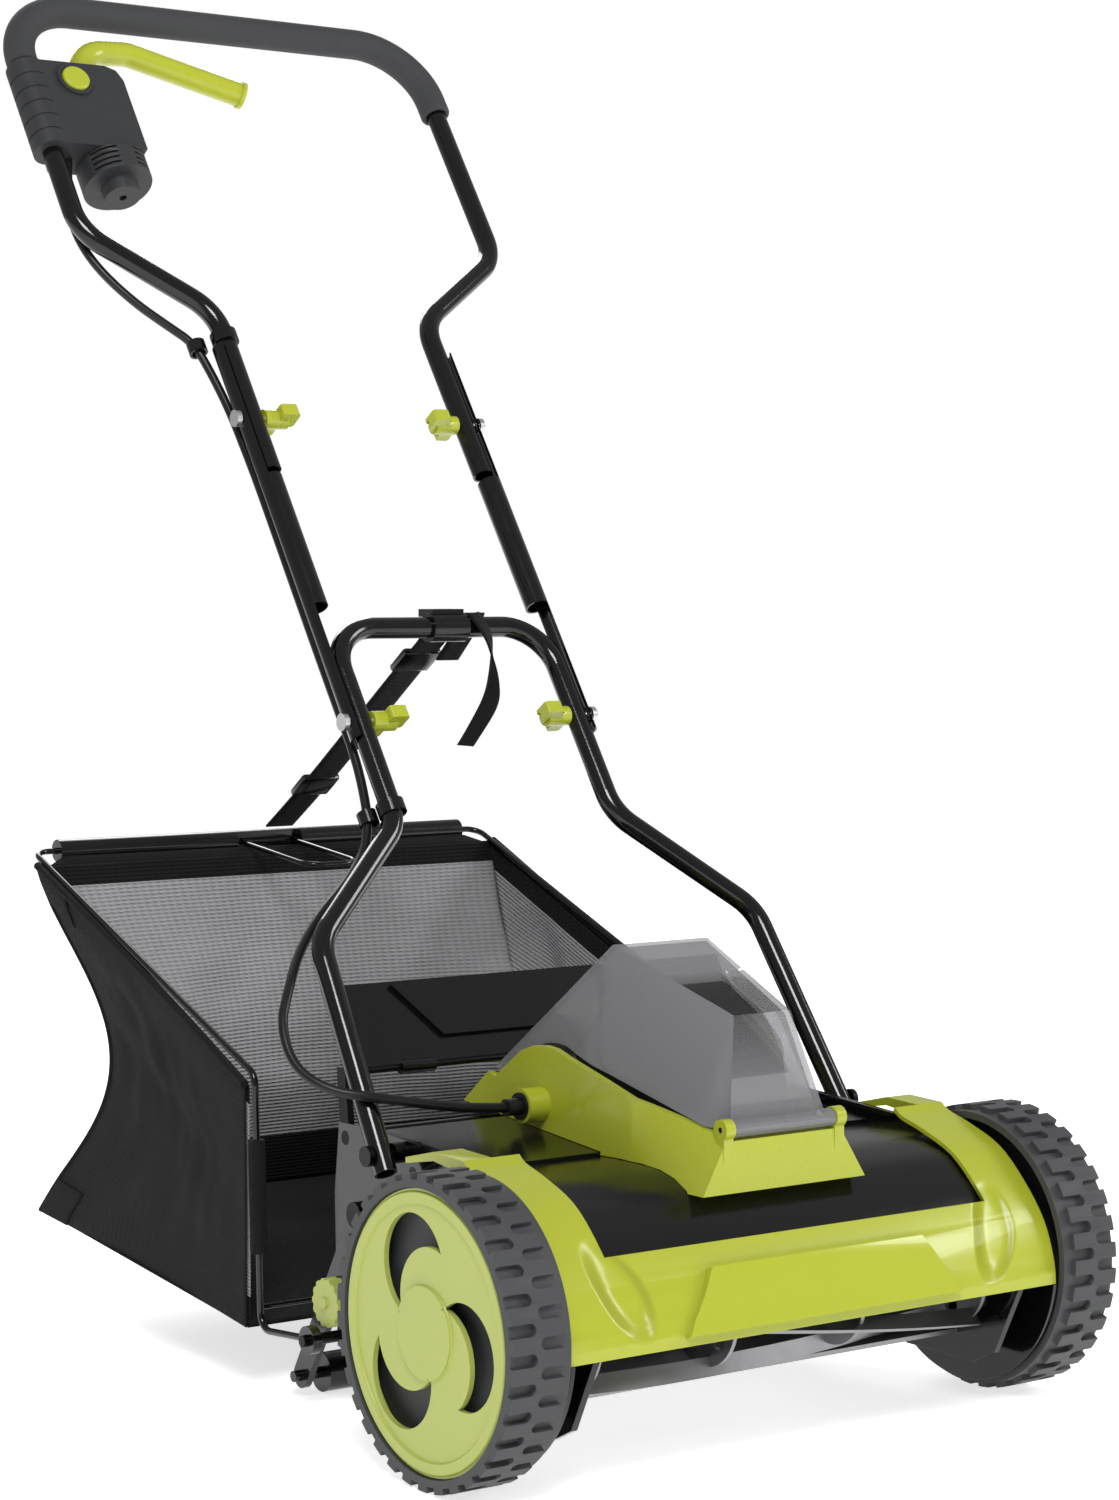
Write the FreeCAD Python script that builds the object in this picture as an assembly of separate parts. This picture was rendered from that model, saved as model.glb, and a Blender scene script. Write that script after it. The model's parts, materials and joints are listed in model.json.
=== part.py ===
import FreeCAD, Part
import math
import os
from FreeCAD import Vector

# Cordless reel mower with a three-part folding handle, a rear height roller and a hanging grass bag.
# Millimetres. +X to the side, -Y forward, +Z up. Pieces are drawn about the wheel axle, with the ground at
# z = 0, and moved along Y at export, so that the origin is on the ground under the middle of the machine.

# ---- Wheels ----
tyre_radius = 100.5
tyre_inner_face = 209.0
tyre_outer_face = 255.0
tyre_tread_edge = 216.0
tyre_depth = 9.0
lug_count = 34
lug_height = 4.0
lug_groove = 8.0
lug_reach = 14.0
rim_wall = 4.0
rim_disc_radius = 91.0
rim_disc_recess = 2.5
hub_radius = 17.0
hub_boss_radius = 30.0
hub_openings = 3
opening_reach, opening_shift, opening_lean = 40.0, 14.0, 19.0
opening_radius = 34.0
axle_radius = 8.0
bush_wall = 3.0
running_gap = 0.05
web_x = 236.0

# ---- Side plates and what ties them ----
plate_inner = 178.0
plate_wall = 5.0
shield_radius = 93.0
shield_inner, shield_outer = 203.0, 206.0
hub_ring_radius = 10.4
tie_radius = 5.0
side_gap = 0.4

# ---- Reel, bed knife and drive ----
reel_y, reel_z = -32.0, 92.0
reel_radius = 40.0
reel_half_length = 168.0
blade_count = 5
blade_depth = 13.0
blade_wall = 2.4
blade_twist = 70.0
blade_steps = 7
spider_count = 4
spider_radius = 34.0
spider_window, spider_window_reach = 6.0, 21.0
spider_wall = 3.0
reel_shaft_radius = 7.0
bearing_radius = 14.0
motor_distance = 62.0
motor_angle = 78.0
motor_radius = 18.0
motor_length = 80.0
motor_shaft_radius = 2.5
reel_pulley_radius = 18.0
motor_pulley_radius = 10.0
belt_wall = 1.6
belt_width = 7.0
drive_case_depth = 18.0
drive_case_wall = 2.0
knife_wall = 3.0

# ---- Deck, front panel and battery box ----
deck_half = 177.6
rear_plate_half = 170.0
deck_wall = 2.5
panel_half = 206.5
panel_wall = 3.0
panel_inner = 162.0
cover_wall = 2.5

# ---- Handle: three tubes in one sloping plane ----
handle_slope = 56.1
fold_y, fold_z = 320.0, 470.0
tube_radius = 8.0
tube_wall = 1.5
mid_tube_radius = 9.25
grip_radius = 12.5
upper_fold_s = 272.0
lower_leg_x = 97.0
lower_foot_x = 202.0
lower_bend_x, lower_bend_s = 193.0, -176.0
lower_crossbar_s = 81.0
lower_end_s = -352.0
leg_bolt_s = -338.0
upper_tail_s = 223.0
upper_loop_x = 193.0
upper_top_s = 674.0
upper_corner_bend = 58.0
upper_side_bend = 42.0
fold_spacer = 3.0
wing_reach, wing_half, wing_round = 14.0, 5.0, 2.5
bolt_radius = 3.0

# ---- Switch ----
switch_low_s = 524.0
switch_high_s = 608.0
switch_inner_x = 115.0
switch_front, switch_back = 13.0, -24.0
grip_left_s, grip_right_s = 611.0, 600.0
lever_radius = 9.8
lever_pin_radius = 3.0
button_radius = 11.5
button_travel = 2.5

# ---- Height roller ----
shaft_end = 6.0


arm_pivot_y, arm_pivot_z = 180.0, 140.0
roller_y = 256.0
roller_radius = 14.0
roller_half = 172.0
arm_wall = 5.0
arm_half_width = 9.0
knob_radius = 17.0
knob_scallops = 14
arm_back_deg, arm_up_deg = 3.0, 8.0

# ---- Bag ----
bag_half = 217.0
bag_wall = 3.0
hook_y, hook_z = 208.0, 51.0
hook_radius = 4.0
wire_radius = 2.5
bar_radius = 9.0

# ---- Power cable, strap and small parts ----
cable_radius = 3.5
strap_width = 25.0
strap_wall = 2.0
flap_y, flap_z = 211.0, 233.0
flap_length = 66.0
flap_half = 176.0
rib_top, rib_low = 122.0, 92.0

X_AXIS = Vector(1, 0, 0)
slope = math.radians(handle_slope)
along = Vector(0, math.cos(slope), math.sin(slope))
normal = Vector(0, -math.sin(slope), math.cos(slope))


# ---- Helpers ----
def on_handle(x, s, off=0.0):
    """Point in the handle's plane: x to the side, s up the slope from the lower fold, off in front of it."""
    return Vector(x, fold_y, fold_z) + along * s + normal * off


def box(x0, x1, y0, y1, z0, z1):
    return Part.makeBox(x1 - x0, y1 - y0, z1 - z0, Vector(x0, y0, z0))


def rod(start, end, radius):
    return Part.makeCylinder(radius, (end - start).Length, start, end - start)


def x_rod(x0, x1, y, z, radius):
    return Part.makeCylinder(radius, abs(x1 - x0), Vector(min(x0, x1), y, z), X_AXIS)


def x_ring(x0, x1, y, z, outer, inner):
    return x_rod(x0, x1, y, z, outer).cut(x_rod(x0 - 1, x1 + 1, y, z, inner))


def x_prism(points, x0, x1):
    """Extrude an outline of (y, z) points from x0 to x1."""
    wire = Part.makePolygon([Vector(x0, y, z) for y, z in points + points[:1]])
    return Part.Face(wire).extrude(Vector(x1 - x0, 0, 0))


def handle_prism(points, off0, off1):
    """Extrude an outline of (x, s) points in the handle's plane from off0 to off1 in front of it."""
    wire = Part.makePolygon([on_handle(x, s, off0) for x, s in points + points[:1]])
    return Part.Face(wire).extrude(normal * (off1 - off0))


def both_sides(shape):
    return Part.makeCompound([shape, shape.mirror(Vector(0, 0, 0), X_AXIS)])


def rounded_route(points, radius=None):
    """Wire of straight runs joined by tangent arcs. Each arc has the given radius, or as large as fits."""
    edges, start = [], points[0]
    wanted = radius if isinstance(radius, list) else [radius] * (len(points) - 2)
    for before, corner, after, radius in zip(points, points[1:], points[2:], wanted):
        into, out = (corner - before).normalize(), (after - corner).normalize()
        turn = into.getAngle(out)
        reach = 0.45 * min((corner - before).Length, (after - corner).Length)
        bend = reach / math.tan(turn / 2)
        if radius is not None:
            bend, reach = radius, radius * math.tan(turn / 2)
        first, last = corner - into * reach, corner + out * reach
        inward = (out - into).normalize()
        middle = corner + inward * (bend / math.cos(turn / 2) - bend)
        edges.append(Part.LineSegment(start, first).toShape())
        edges.append(Part.Arc(first, middle, last).toShape())
        start = last
    edges.append(Part.LineSegment(start, points[-1]).toShape())
    return Part.Wire(edges)


def sweep_round(wire, start, direction, radius):
    ring = Part.Wire([Part.makeCircle(radius, start, direction)])
    return wire.makePipeShell([ring], True, False)


def tube(points, radius, bend=None, wall=0.0):
    """Bent round bar, or a pipe where wall is given, along rounded points."""
    wire = rounded_route(points, bend)
    direction = points[1] - points[0]
    solid = sweep_round(wire, points[0], direction, radius)
    if wall:
        solid = solid.cut(sweep_round(wire, points[0], direction, radius - wall))
    return solid


def strip(points, width, wall):
    """Flat strap in the YZ plane along (y, z) points, centred on x = 0."""
    upper, lower = [], []
    for i, (y, z) in enumerate(points):
        a, b = points[max(i - 1, 0)], points[min(i + 1, len(points) - 1)]
        length = math.hypot(b[0] - a[0], b[1] - a[1])
        ny, nz = -(b[1] - a[1]) / length, (b[0] - a[0]) / length
        upper.append((y + ny * wall / 2, z + nz * wall / 2))
        lower.append((y - ny * wall / 2, z - nz * wall / 2))
    return x_prism(upper + lower[::-1], -width / 2, width / 2)


def turned(shape, degrees, y, z):
    copy = shape.copy()
    copy.rotate(Vector(0, y, z), X_AXIS, degrees)
    return copy


# The origin is midway between the front of the tyres and the back of the grip.
grip_back = on_handle(0, upper_top_s).y + grip_radius
origin_y = (grip_back - tyre_radius) / 2
made = {}


def keep(name, shape):
    """Move a finished piece to the export frame and write it."""
    shape = shape.copy()
    shape.translate(Vector(0, -origin_y, 0))
    solids = shape.Solids
    shape = solids[0] if len(solids) == 1 else Part.makeCompound(solids)
    made[name] = shape
    shape.exportStep(os.path.join("parts", name + ".step"))


# ---- Wheels ----
def tyre():
    """Grey moulding: two rows of lugs, a smooth inner shoulder, a closing web and a hub tube."""
    z = tyre_radius
    body = x_ring(tyre_inner_face, tyre_outer_face, 0, z, tyre_radius - lug_height, tyre_radius - tyre_depth)
    band = x_ring(tyre_tread_edge, tyre_outer_face, 0, z, tyre_radius, tyre_radius - lug_height - 1)
    slots = []
    rows = ((tyre_tread_edge - 3, tyre_tread_edge + lug_reach),
            (tyre_outer_face + 3, tyre_outer_face - lug_reach))
    for row, (open_x, closed_x) in enumerate(rows):
        low = z + tyre_radius - lug_height
        slot = box(min(open_x, closed_x), max(open_x, closed_x), -lug_groove / 2, lug_groove / 2, low,
                   low + 9)
        slot = slot.fuse(Part.makeCylinder(lug_groove / 2, 9, Vector(closed_x, 0, low)))
        slots += [turned(slot, (i + row / 2) * 360 / lug_count, 0, z) for i in range(lug_count)]
    web = x_rod(web_x, web_x + rim_wall, 0, z, tyre_radius - tyre_depth)
    hub = x_rod(tyre_inner_face + 3, web_x + 1, 0, z, hub_radius)
    bore = x_rod(tyre_inner_face, tyre_outer_face, 0, z, axle_radius + bush_wall)
    return body.fuse([band.cut(Part.makeCompound(slots)), web, hub]).cut(bore)


def hub_cover():
    """Green disc with a raised rim, a domed boss and three curved openings."""
    z = tyre_radius
    face = tyre_outer_face - rim_disc_recess
    back = web_x + rim_wall + side_gap
    disc = x_rod(face - rim_wall, face, 0, z, rim_disc_radius)
    skirt = x_ring(back, face, 0, z, rim_disc_radius, rim_disc_radius - rim_wall)
    boss = x_rod(face - rim_wall, tyre_outer_face - 0.5, 0, z, hub_boss_radius)
    openings = []
    for i in range(hub_openings):
        outer = x_rod(face - 20, face + 5, opening_shift, z + opening_reach, opening_radius)
        inner = x_rod(face - 25, face + 9, opening_shift - opening_lean, z + opening_reach - opening_lean,
                      opening_radius)
        openings.append(turned(outer.cut(inner), i * 360 / hub_openings, 0, z))
    return disc.fuse([skirt, boss]).cut(Part.makeCompound(openings))


def bush():
    z = tyre_radius
    inner = axle_radius + running_gap
    return x_ring(tyre_inner_face + 3, web_x + rim_wall, 0, z, axle_radius + bush_wall, inner)


def wheels():
    for side, name in ((1, "right"), (-1, "left")):
        for part, shape in (("tyre", tyre()), ("hub_cover", hub_cover()), ("bush", bush())):
            if side < 0:
                shape = shape.mirror(Vector(0, 0, 0), X_AXIS)
            keep(name + "_" + part, shape)
    stub = x_rod(plate_inner - 6, web_x + rim_wall - 1, 0, tyre_radius, axle_radius)
    shoulder = x_rod(shield_outer, tyre_inner_face + 3 - side_gap, 0, tyre_radius, axle_radius + 4)
    nut = x_rod(plate_inner - 8, plate_inner, 0, tyre_radius, axle_radius + 5)
    keep("axle_stubs", both_sides(stub.fuse([shoulder, nut])))


# ---- Side plates, reel and drive ----
plate_outline = [(-60, 40), (-85, 90), (-85, 104), (-75.5, 129), (-46, 163), (-8, 184), (28, 192),
                 (176, 200),
                 (213, 199), (219, 150), (217, 84), (216, 42), (190, 38), (150, 70), (70, 44), (30, 30),
                 (-40, 30)]
motor_y = reel_y + motor_distance * math.cos(math.radians(motor_angle))
motor_z = reel_z + motor_distance * math.sin(math.radians(motor_angle))
knob_y, knob_z = 205.0, 76.0
arm_pin_radius = 6.0
knob_pin_radius = 4.0


def arc_slot():
    """Curved slot that the height knob's pin follows about the arm's pivot."""
    reach = math.hypot(knob_y - arm_pivot_y, knob_z - arm_pivot_z)
    half = knob_pin_radius + 0.6
    x0, x1 = plate_inner - 1, plate_inner + plate_wall + 1
    ring = x_ring(x0, x1, arm_pivot_y, arm_pivot_z, reach + half, reach - half)
    rest = math.atan2(knob_z - arm_pivot_z, knob_y - arm_pivot_y)
    turns = (-arm_back_deg - 1, arm_up_deg + 1)
    ends = [rest + math.radians(t) for t in turns]
    wedge = x_prism([(arm_pivot_y, arm_pivot_z)] + [(arm_pivot_y + 2 * reach * math.cos(a),
                    arm_pivot_z + 2 * reach * math.sin(a)) for a in ends], x0, x1)
    holes = [x_rod(x0, x1, arm_pivot_y + reach * math.cos(a), arm_pivot_z + reach * math.sin(a), half)
             for a in ends]
    return ring.common(wedge).fuse(holes)


def side_plates():
    x0, x1 = plate_inner, plate_inner + plate_wall
    ring = x_rod(x1 - 1, shield_outer, 0, tyre_radius, hub_ring_radius)
    shield = x_rod(shield_inner, shield_outer, 0, tyre_radius, shield_radius).cut(x_prism(
        shield_cut, shield_inner - 1, shield_outer + 1))
    plate = x_prism(plate_outline, x0, x1).fuse([ring, shield])
    leg = on_handle(0, leg_bolt_s)
    holes = [x_rod(x0 - 1, shield_outer + 1, 0, tyre_radius, axle_radius),
             x_rod(x0 - 1, x1 + 1, reel_y, reel_z, bearing_radius),
             x_rod(x0 - 1, x1 + 1, arm_pivot_y, arm_pivot_z, arm_pin_radius),
             x_rod(x0 - 1, x1 + 1, hook_y, hook_z, hook_radius),
             x_rod(x0 - 1, x1 + 1, leg.y, leg.z, bolt_radius),
             arc_slot()]
    plate = plate.cut(Part.makeCompound(holes))
    for x, y, z in tie_places:
        plate = plate.cut(x_rod(x0 - 1, x1 + 1, y, z, tie_radius))
    keep("right_side_plate", plate)
    left = plate.mirror(Vector(0, 0, 0), X_AXIS)
    slot = x_rod(-x1 - 1, -x0 + 1, motor_y, motor_z, motor_shaft_radius + 1)
    keep("left_side_plate", left.cut(slot))


tie_places = [(0, -72, 118), (0, 120, 176), (0, 60, 60), (0, 205, 189)]


def ties():
    rods = [x_rod(-plate_inner - plate_wall, plate_inner + plate_wall, y, z, tie_radius)
            for _, y, z in tie_places]
    hook = x_rod(-bag_half, bag_half, hook_y, hook_z, hook_radius)
    keep("tie_rods", Part.makeCompound(rods + [hook, flap_hanger()]))


def blade():
    """One helical blade: a flat bar turned step by step along the shaft."""
    sections = []
    for i in range(blade_steps + 1):
        t = i / blade_steps
        x = -reel_half_length + 2 * reel_half_length * t
        bar = Part.makePolygon([Vector(x, reel_y - blade_wall / 2, reel_z + reel_radius - blade_depth),
                                Vector(x, reel_y + blade_wall / 2, reel_z + reel_radius - blade_depth),
                                Vector(x, reel_y + blade_wall / 2, reel_z + reel_radius),
                                Vector(x, reel_y - blade_wall / 2, reel_z + reel_radius),
                                Vector(x, reel_y - blade_wall / 2, reel_z + reel_radius - blade_depth)])
        bar.rotate(Vector(x, reel_y, reel_z), X_AXIS, blade_twist * t)
        sections.append(bar)
    return Part.makeLoft(sections, True, False)


def reel():
    outer = plate_inner + plate_wall + belt_width + 5
    shaft = x_rod(-outer, plate_inner + plate_wall, reel_y, reel_z, reel_shaft_radius)
    keep("reel_shaft", shaft)
    one = blade()
    blades = [turned(one, i * 360 / blade_count, reel_y, reel_z) for i in range(blade_count)]
    keep("reel_blades", Part.makeCompound(blades))
    spiders = []
    span = 2 * (reel_half_length - 4) / (spider_count - 1)
    for i in range(spider_count):
        x = -reel_half_length + 4 + i * span
        t = (x + reel_half_length) / (2 * reel_half_length)
        disc = x_rod(x - spider_wall / 2, x + spider_wall / 2, reel_y, reel_z, spider_radius)
        hub = x_rod(x - 2 * spider_wall, x + 2 * spider_wall, reel_y, reel_z, reel_shaft_radius + 4)
        bore = x_rod(x - 20, x + 20, reel_y, reel_z, reel_shaft_radius)
        windows = [turned(x_rod(x - 20, x + 20, reel_y, reel_z + spider_window_reach, spider_window),
                          blade_twist * t + (k + 0.5) * 360 / blade_count, reel_y, reel_z)
                   for k in range(blade_count)]
        disc = disc.fuse(hub).cut(bore).cut(Part.makeCompound(windows)).cut(Part.makeCompound(blades))
        spiders.append(max(disc.Solids, key=lambda solid: solid.Volume))
    keep("reel_spiders", Part.makeCompound(spiders))
    ring = x_ring(plate_inner, plate_inner + plate_wall, reel_y, reel_z, bearing_radius,
                  reel_shaft_radius + running_gap)
    keep("reel_bearings", both_sides(ring))


def drive():
    """Motor under the deck, with a toothed belt down to the reel inside a case on the left plate."""
    x1 = -plate_inner - plate_wall - 1.5
    x0 = x1 - belt_width
    can = x_rod(-plate_inner + motor_length, -plate_inner, motor_y, motor_z, motor_radius)
    bell = x_rod(-plate_inner + motor_length, -plate_inner + motor_length + 6, motor_y, motor_z,
                 motor_radius - 6)
    bore = x_rod(-plate_inner - 1, -plate_inner + 30, motor_y, motor_z, motor_shaft_radius + running_gap)
    keep("motor", can.fuse(bell).cut(bore))
    shaft = x_rod(x0 - 2, -plate_inner + 25, motor_y, motor_z, motor_shaft_radius)
    keep("motor_pulley", shaft.fuse(x_rod(x0, x1, motor_y, motor_z, motor_pulley_radius)))
    pulley = x_rod(x0, x1, reel_y, reel_z, reel_pulley_radius)
    pulley = pulley.cut(x_rod(x0 - 9, x1 + 9, reel_y, reel_z, reel_shaft_radius))
    keep("reel_pulley", pulley)
    keep("drive_belt", belt_loop(x0 + 0.5, x1 - 0.5, side_gap + belt_wall).cut(
        belt_loop(x0 - 1, x1 + 1, side_gap)))
    wall = drive_case_wall
    deep = belt_loop(-plate_inner - plate_wall - drive_case_depth, -plate_inner - plate_wall, 7)
    hollow = belt_loop(-plate_inner - plate_wall - drive_case_depth + wall, -plate_inner, 7 - wall)
    axle = x_rod(-tyre_inner_face, -plate_inner, 0, tyre_radius, hub_ring_radius + 0.8)
    keep("drive_case", deep.cut(hollow).cut(axle))


def belt_loop(x0, x1, grow):
    """Solid outline round both pulleys, grown by a gap."""
    big, small = reel_pulley_radius + grow, motor_pulley_radius + grow
    aim = math.radians(motor_angle)
    lean = math.acos((big - small) / motor_distance)
    corners = []
    for side in (1, -1):
        a = aim + side * lean
        corners.append(((reel_y + big * math.cos(a), reel_z + big * math.sin(a)),
                        (motor_y + small * math.cos(a), motor_z + small * math.sin(a))))
    wedge = x_prism([corners[0][0], corners[0][1], corners[1][1], corners[1][0]], x0, x1)
    return wedge.fuse([x_rod(x0, x1, reel_y, reel_z, big), x_rod(x0, x1, motor_y, motor_z, small)])


def bed_knife():
    y, z = reel_y + 8, reel_z - reel_radius - 1.2
    half = plate_inner - side_gap
    knife = box(-half, half, y, y + 34, z - knife_wall, z)
    bar = x_prism([(y + 14, z), (y + 34, z), (y + 40, z + 14), (y + 34, z + 14)], -half, half)
    keep("bed_knife", Part.makeCompound([knife, bar]))


# ---- Deck and front panel ----
plate_line = [(64, 187.5), (176, 197), (196, 193)]
deck_arc = [(-65, 143.9), (-56.2, 154), (-45, 164), (-31, 174.5), (-15, 180.5), (0, 184), (18, 185.5),
            (40, 185.8),
            (63, 185)]


def thick_outline(points, wall):
    """Closed outline of a bent sheet: the points, and the same points set in by the wall."""
    inner = []
    for i, (y, z) in enumerate(points):
        a, b = points[max(i - 1, 0)], points[min(i + 1, len(points) - 1)]
        length = math.hypot(b[0] - a[0], b[1] - a[1])
        inner.append((y + wall * (b[1] - a[1]) / length, z - wall * (b[0] - a[0]) / length))
    return points + inner[::-1]


def deck():
    keep("deck_cover", x_prism(thick_outline(deck_arc, deck_wall), -deck_half, deck_half))
    plate = x_prism(thick_outline(plate_line, deck_wall), -rear_plate_half, rear_plate_half)
    lip = x_prism([(63.4, 182.6), (66, 182.8), (66, 187.7), (63.4, 187.4)], -rear_plate_half,
                  rear_plate_half)
    keep("rear_plate", plate.fuse(lip))


panel_profile = [(-91, 90), (-89, 106), (-79, 132), (-59, 157), (-34, 178), (-3, 190), (18, 196), (26, 201)]
cheek_line = [(30, 188), (-20, 172), (-62, 130), (-74, 92)]
shield_cut = [(-120, 90), (-73, 90), (-61, 129), (-19.5, 170.5), (31, 186), (120, 186), (120, 240),
              (-120, 240)]


def front_panel():
    """Bent fascia with an open top window, side cheeks and two arms over the wheels."""
    sheet = x_prism(thick_outline(panel_profile, panel_wall), -panel_half, panel_half)
    window = x_prism([(-66, 120), (-66, 156), (-56, 230), (60, 230), (60, 120)], -panel_inner, panel_inner)
    sheet = sheet.cut(window)
    cheek = x_prism(panel_profile + cheek_line, panel_half - panel_wall, panel_half)
    arm = x_prism([(20, 197), (26, 201), (60, 202), (93, 194), (93, 190), (60, 196), (24, 192)],
                  184, panel_half)
    face = sheet
    for piece in both_sides(cheek.fuse(arm)).Solids:
        face = face.fuse(piece)
    recess = [Vector(-116, -96, 98), Vector(116, -96, 98), Vector(89, -84, 137), Vector(-89, -84, 137)]
    raised = Part.Face(Part.makePolygon(recess + recess[:1])).extrude(Vector(0, 8, -3))
    face = face.fuse(raised.removeSplitter())
    keep("front_panel", face.removeSplitter())


# ---- Battery box ----
hinge_y, hinge_z = -44.0, 215.0
hinge_half = 43.0
hinge_ear = 8.0
barrel_radius = 6.0
pin_radius = 2.0
cable_exit_y, cable_exit_z = 134.0, 211.0
tub_low_half, tub_top_half = 71.0, 66.0
pack_half = 30.0
tub_floor = [(-38, 181), (-8, 188), (64, 191), (178, 201.5), (206, 206)]


def trapezoid(y, half_low, z_low, half_top, z_top):
    """Upright outline across the machine at one place along Y."""
    corners = [Vector(-half_low, y, z_low), Vector(half_low, y, z_low), Vector(half_top, y, z_top),
               Vector(-half_top, y, z_top)]
    return Part.makePolygon(corners + corners[:1])


def tub_block(inset):
    """Solid that the tub is cut from: a narrow sloping front that widens to upright sides."""
    stations = [(-60, 84, 150, 16, 260), (-46, 83, 150, 18, 260), (30, tub_low_half, 150, tub_top_half, 260),
                (240, tub_low_half, 150, tub_top_half, 260)]
    outlines = [trapezoid(y, a - inset, z0, b - inset, z1) for y, a, z0, b, z1 in stations]
    return Part.makeLoft(outlines, True, True)


def battery_box():
    """Sloping tub with high cheeks that carries the battery and its cover."""
    side = [(-49, 173.5), (-30, 173.5), (0, 150), (220, 150), (228, 202), (199, 226), (190, 224),
            (160, 245), (146, 250), (132, 251.5), (120, 250.5),
            (104, 246), (62, 236), (-25, 214), (-47, 209)]
    outer = x_prism(side, -90, 90).common(tub_block(0))
    hollow = x_prism(tub_floor + [(206, 280), (-38, 280)], -90, 90).common(tub_block(5))
    under = x_prism([(-80, 140)] + [(y, z + side_gap) for y,
                                    z in deck_arc + [(62.9, 187.5)] + plate_line[:2]] +
                    [(228, 201.6), (240, 202.6), (240, 140)], -100, 100)
    boss = x_rod(-tub_low_half - 14, -tub_top_half + 4, cable_exit_y, cable_exit_z, 12)
    socket = x_rod(-tub_low_half - 20, -tub_top_half + 8, cable_exit_y, cable_exit_z, 7.5)
    ears = [x_rod(x0, x0 + hinge_ear, hinge_y, hinge_z, 7).fuse(
        box(x0, x0 + hinge_ear, hinge_y - 4, hinge_y + 5, hinge_z - 26, hinge_z))
        for x0 in (-hinge_half - side_gap - hinge_ear, hinge_half + side_gap)]
    bed = x_rod(-hinge_half - side_gap, hinge_half + side_gap, hinge_y, hinge_z, barrel_radius + 2)
    tub = outer.cut(hollow).fuse([boss] + ears).cut(under).cut(socket)
    tub = tub.cut(bed).cut(x_rod(-60, 60, hinge_y, hinge_z, pin_radius))
    return max(tub.Solids, key=lambda solid: solid.Volume)


def cover_block(inset):
    """Smoked cover as a solid: narrow flat top, sloping sides, low at both ends."""
    drop = 0.8 * inset
    stations = [(-40 + inset, 40, 216, 40, 220), (-24 + inset, 54, 213, 24, 286), (87 - inset, 63, 235, 41,
                                                                                   324),
                (203 - inset, 60, 222, 57, 229)]
    outlines = [trapezoid(y, a - inset, z0 - 9, b - inset, z1 - drop) for y, a, z0, b, z1 in stations]
    return Part.makeLoft(outlines, True, True)


def battery_cover():
    """Transparent shell whose lower edge follows the tub's cheeks, with its hinge barrel in front."""
    follow = [(-60, 190), (-60, 214), (-47, 210), (-25, 215), (62, 237), (104, 247), (120, 251.5),
              (132, 252.5),
              (146, 251), (160, 246), (188, 226.5), (240, 227.5), (240, 190)]
    shell = cover_block(0).cut(x_prism(follow, -90, 90)).cut(cover_block(cover_wall))
    shell = max(shell.Solids, key=lambda solid: solid.Volume)
    barrel = x_rod(-hinge_half, hinge_half, hinge_y, hinge_z, barrel_radius)
    leaf = x_prism([(hinge_y, hinge_z + 1), (hinge_y + 8, hinge_z), (hinge_y + 6, hinge_z + 5),
                    (hinge_y + 1, hinge_z + 5)], -hinge_half, hinge_half)
    bore = x_rod(-60, 60, hinge_y, hinge_z, pin_radius + running_gap)
    return shell.fuse([barrel, leaf]).cut(bore)


def battery():
    keep("battery_box", battery_box())
    keep("battery_cover", battery_cover())
    keep("cover_hinge_pin", x_rod(-hinge_half - hinge_ear, hinge_half + hinge_ear, hinge_y, hinge_z,
                                     pin_radius))
    dock = x_prism([(-30, 183.4), (-8, 188.4), (64, 191.4), (178, 201.9), (190, 204), (190, 214), (172, 213),
                    (160, 226), (40, 206), (-30, 196)], -34, 34)
    keep("battery_dock", dock)
    pack = x_prism([(-20, 201), (40, 208.5), (148, 227), (148, 246), (84, 306), (66, 306), (10, 280),
                    (-10, 254)], -pack_half, pack_half)
    groove = [(-20, 214), (160, 240), (160, 243), (-20, 217)]
    pack = pack.cut(x_prism(groove, pack_half - 1.5, pack_half + 1)).cut(
        x_prism(groove, -pack_half - 1, -pack_half + 1.5))
    keep("battery_pack", pack.fuse(box(-12, 12, 68, 80, 305, 309)))


# ---- Handle ----
def lower_handle():
    """U-shaped tube: crossbar, two legs, an outward bend and feet on the side plates."""
    right = [on_handle(lower_leg_x, lower_crossbar_s), on_handle(lower_leg_x, -86),
             on_handle(lower_bend_x, lower_bend_s), on_handle(lower_foot_x, lower_end_s)]
    left = [Vector(-p.x, p.y, p.z) for p in right]
    points = left[::-1] + right
    solid = tube(points, tube_radius, 38, tube_wall)
    for side in (1, -1):
        for s, x in ((0, lower_leg_x), (leg_bolt_s, lower_foot_x)):
            start, end = on_handle(side * (x - 20), s), on_handle(side * (x + 20), s)
            solid = solid.cut(rod(start, end, bolt_radius + 0.02))
    keep("lower_handle", solid)


def leg_bolts():
    foot = on_handle(0, leg_bolt_s)
    lean = (lower_foot_x - lower_bend_x) / (lower_end_s - lower_bend_s)
    leg_x = lower_foot_x + (leg_bolt_s - lower_end_s) * lean
    inside, outside = leg_x - tube_radius - 0.6, leg_x + tube_radius + 0.6
    bolt = x_rod(plate_inner - 6, outside + 1, foot.y, foot.z, bolt_radius)
    head = x_rod(outside, outside + 4, foot.y, foot.z, 7)
    collar = x_rod(plate_inner + plate_wall, inside, foot.y, foot.z, 7)
    nut = x_rod(plate_inner - 7, plate_inner, foot.y, foot.z, 6.5)
    return both_sides(bolt.fuse([head, collar, nut]))


mid_x = lower_leg_x + tube_radius + fold_spacer + tube_wall - mid_tube_radius


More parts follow.
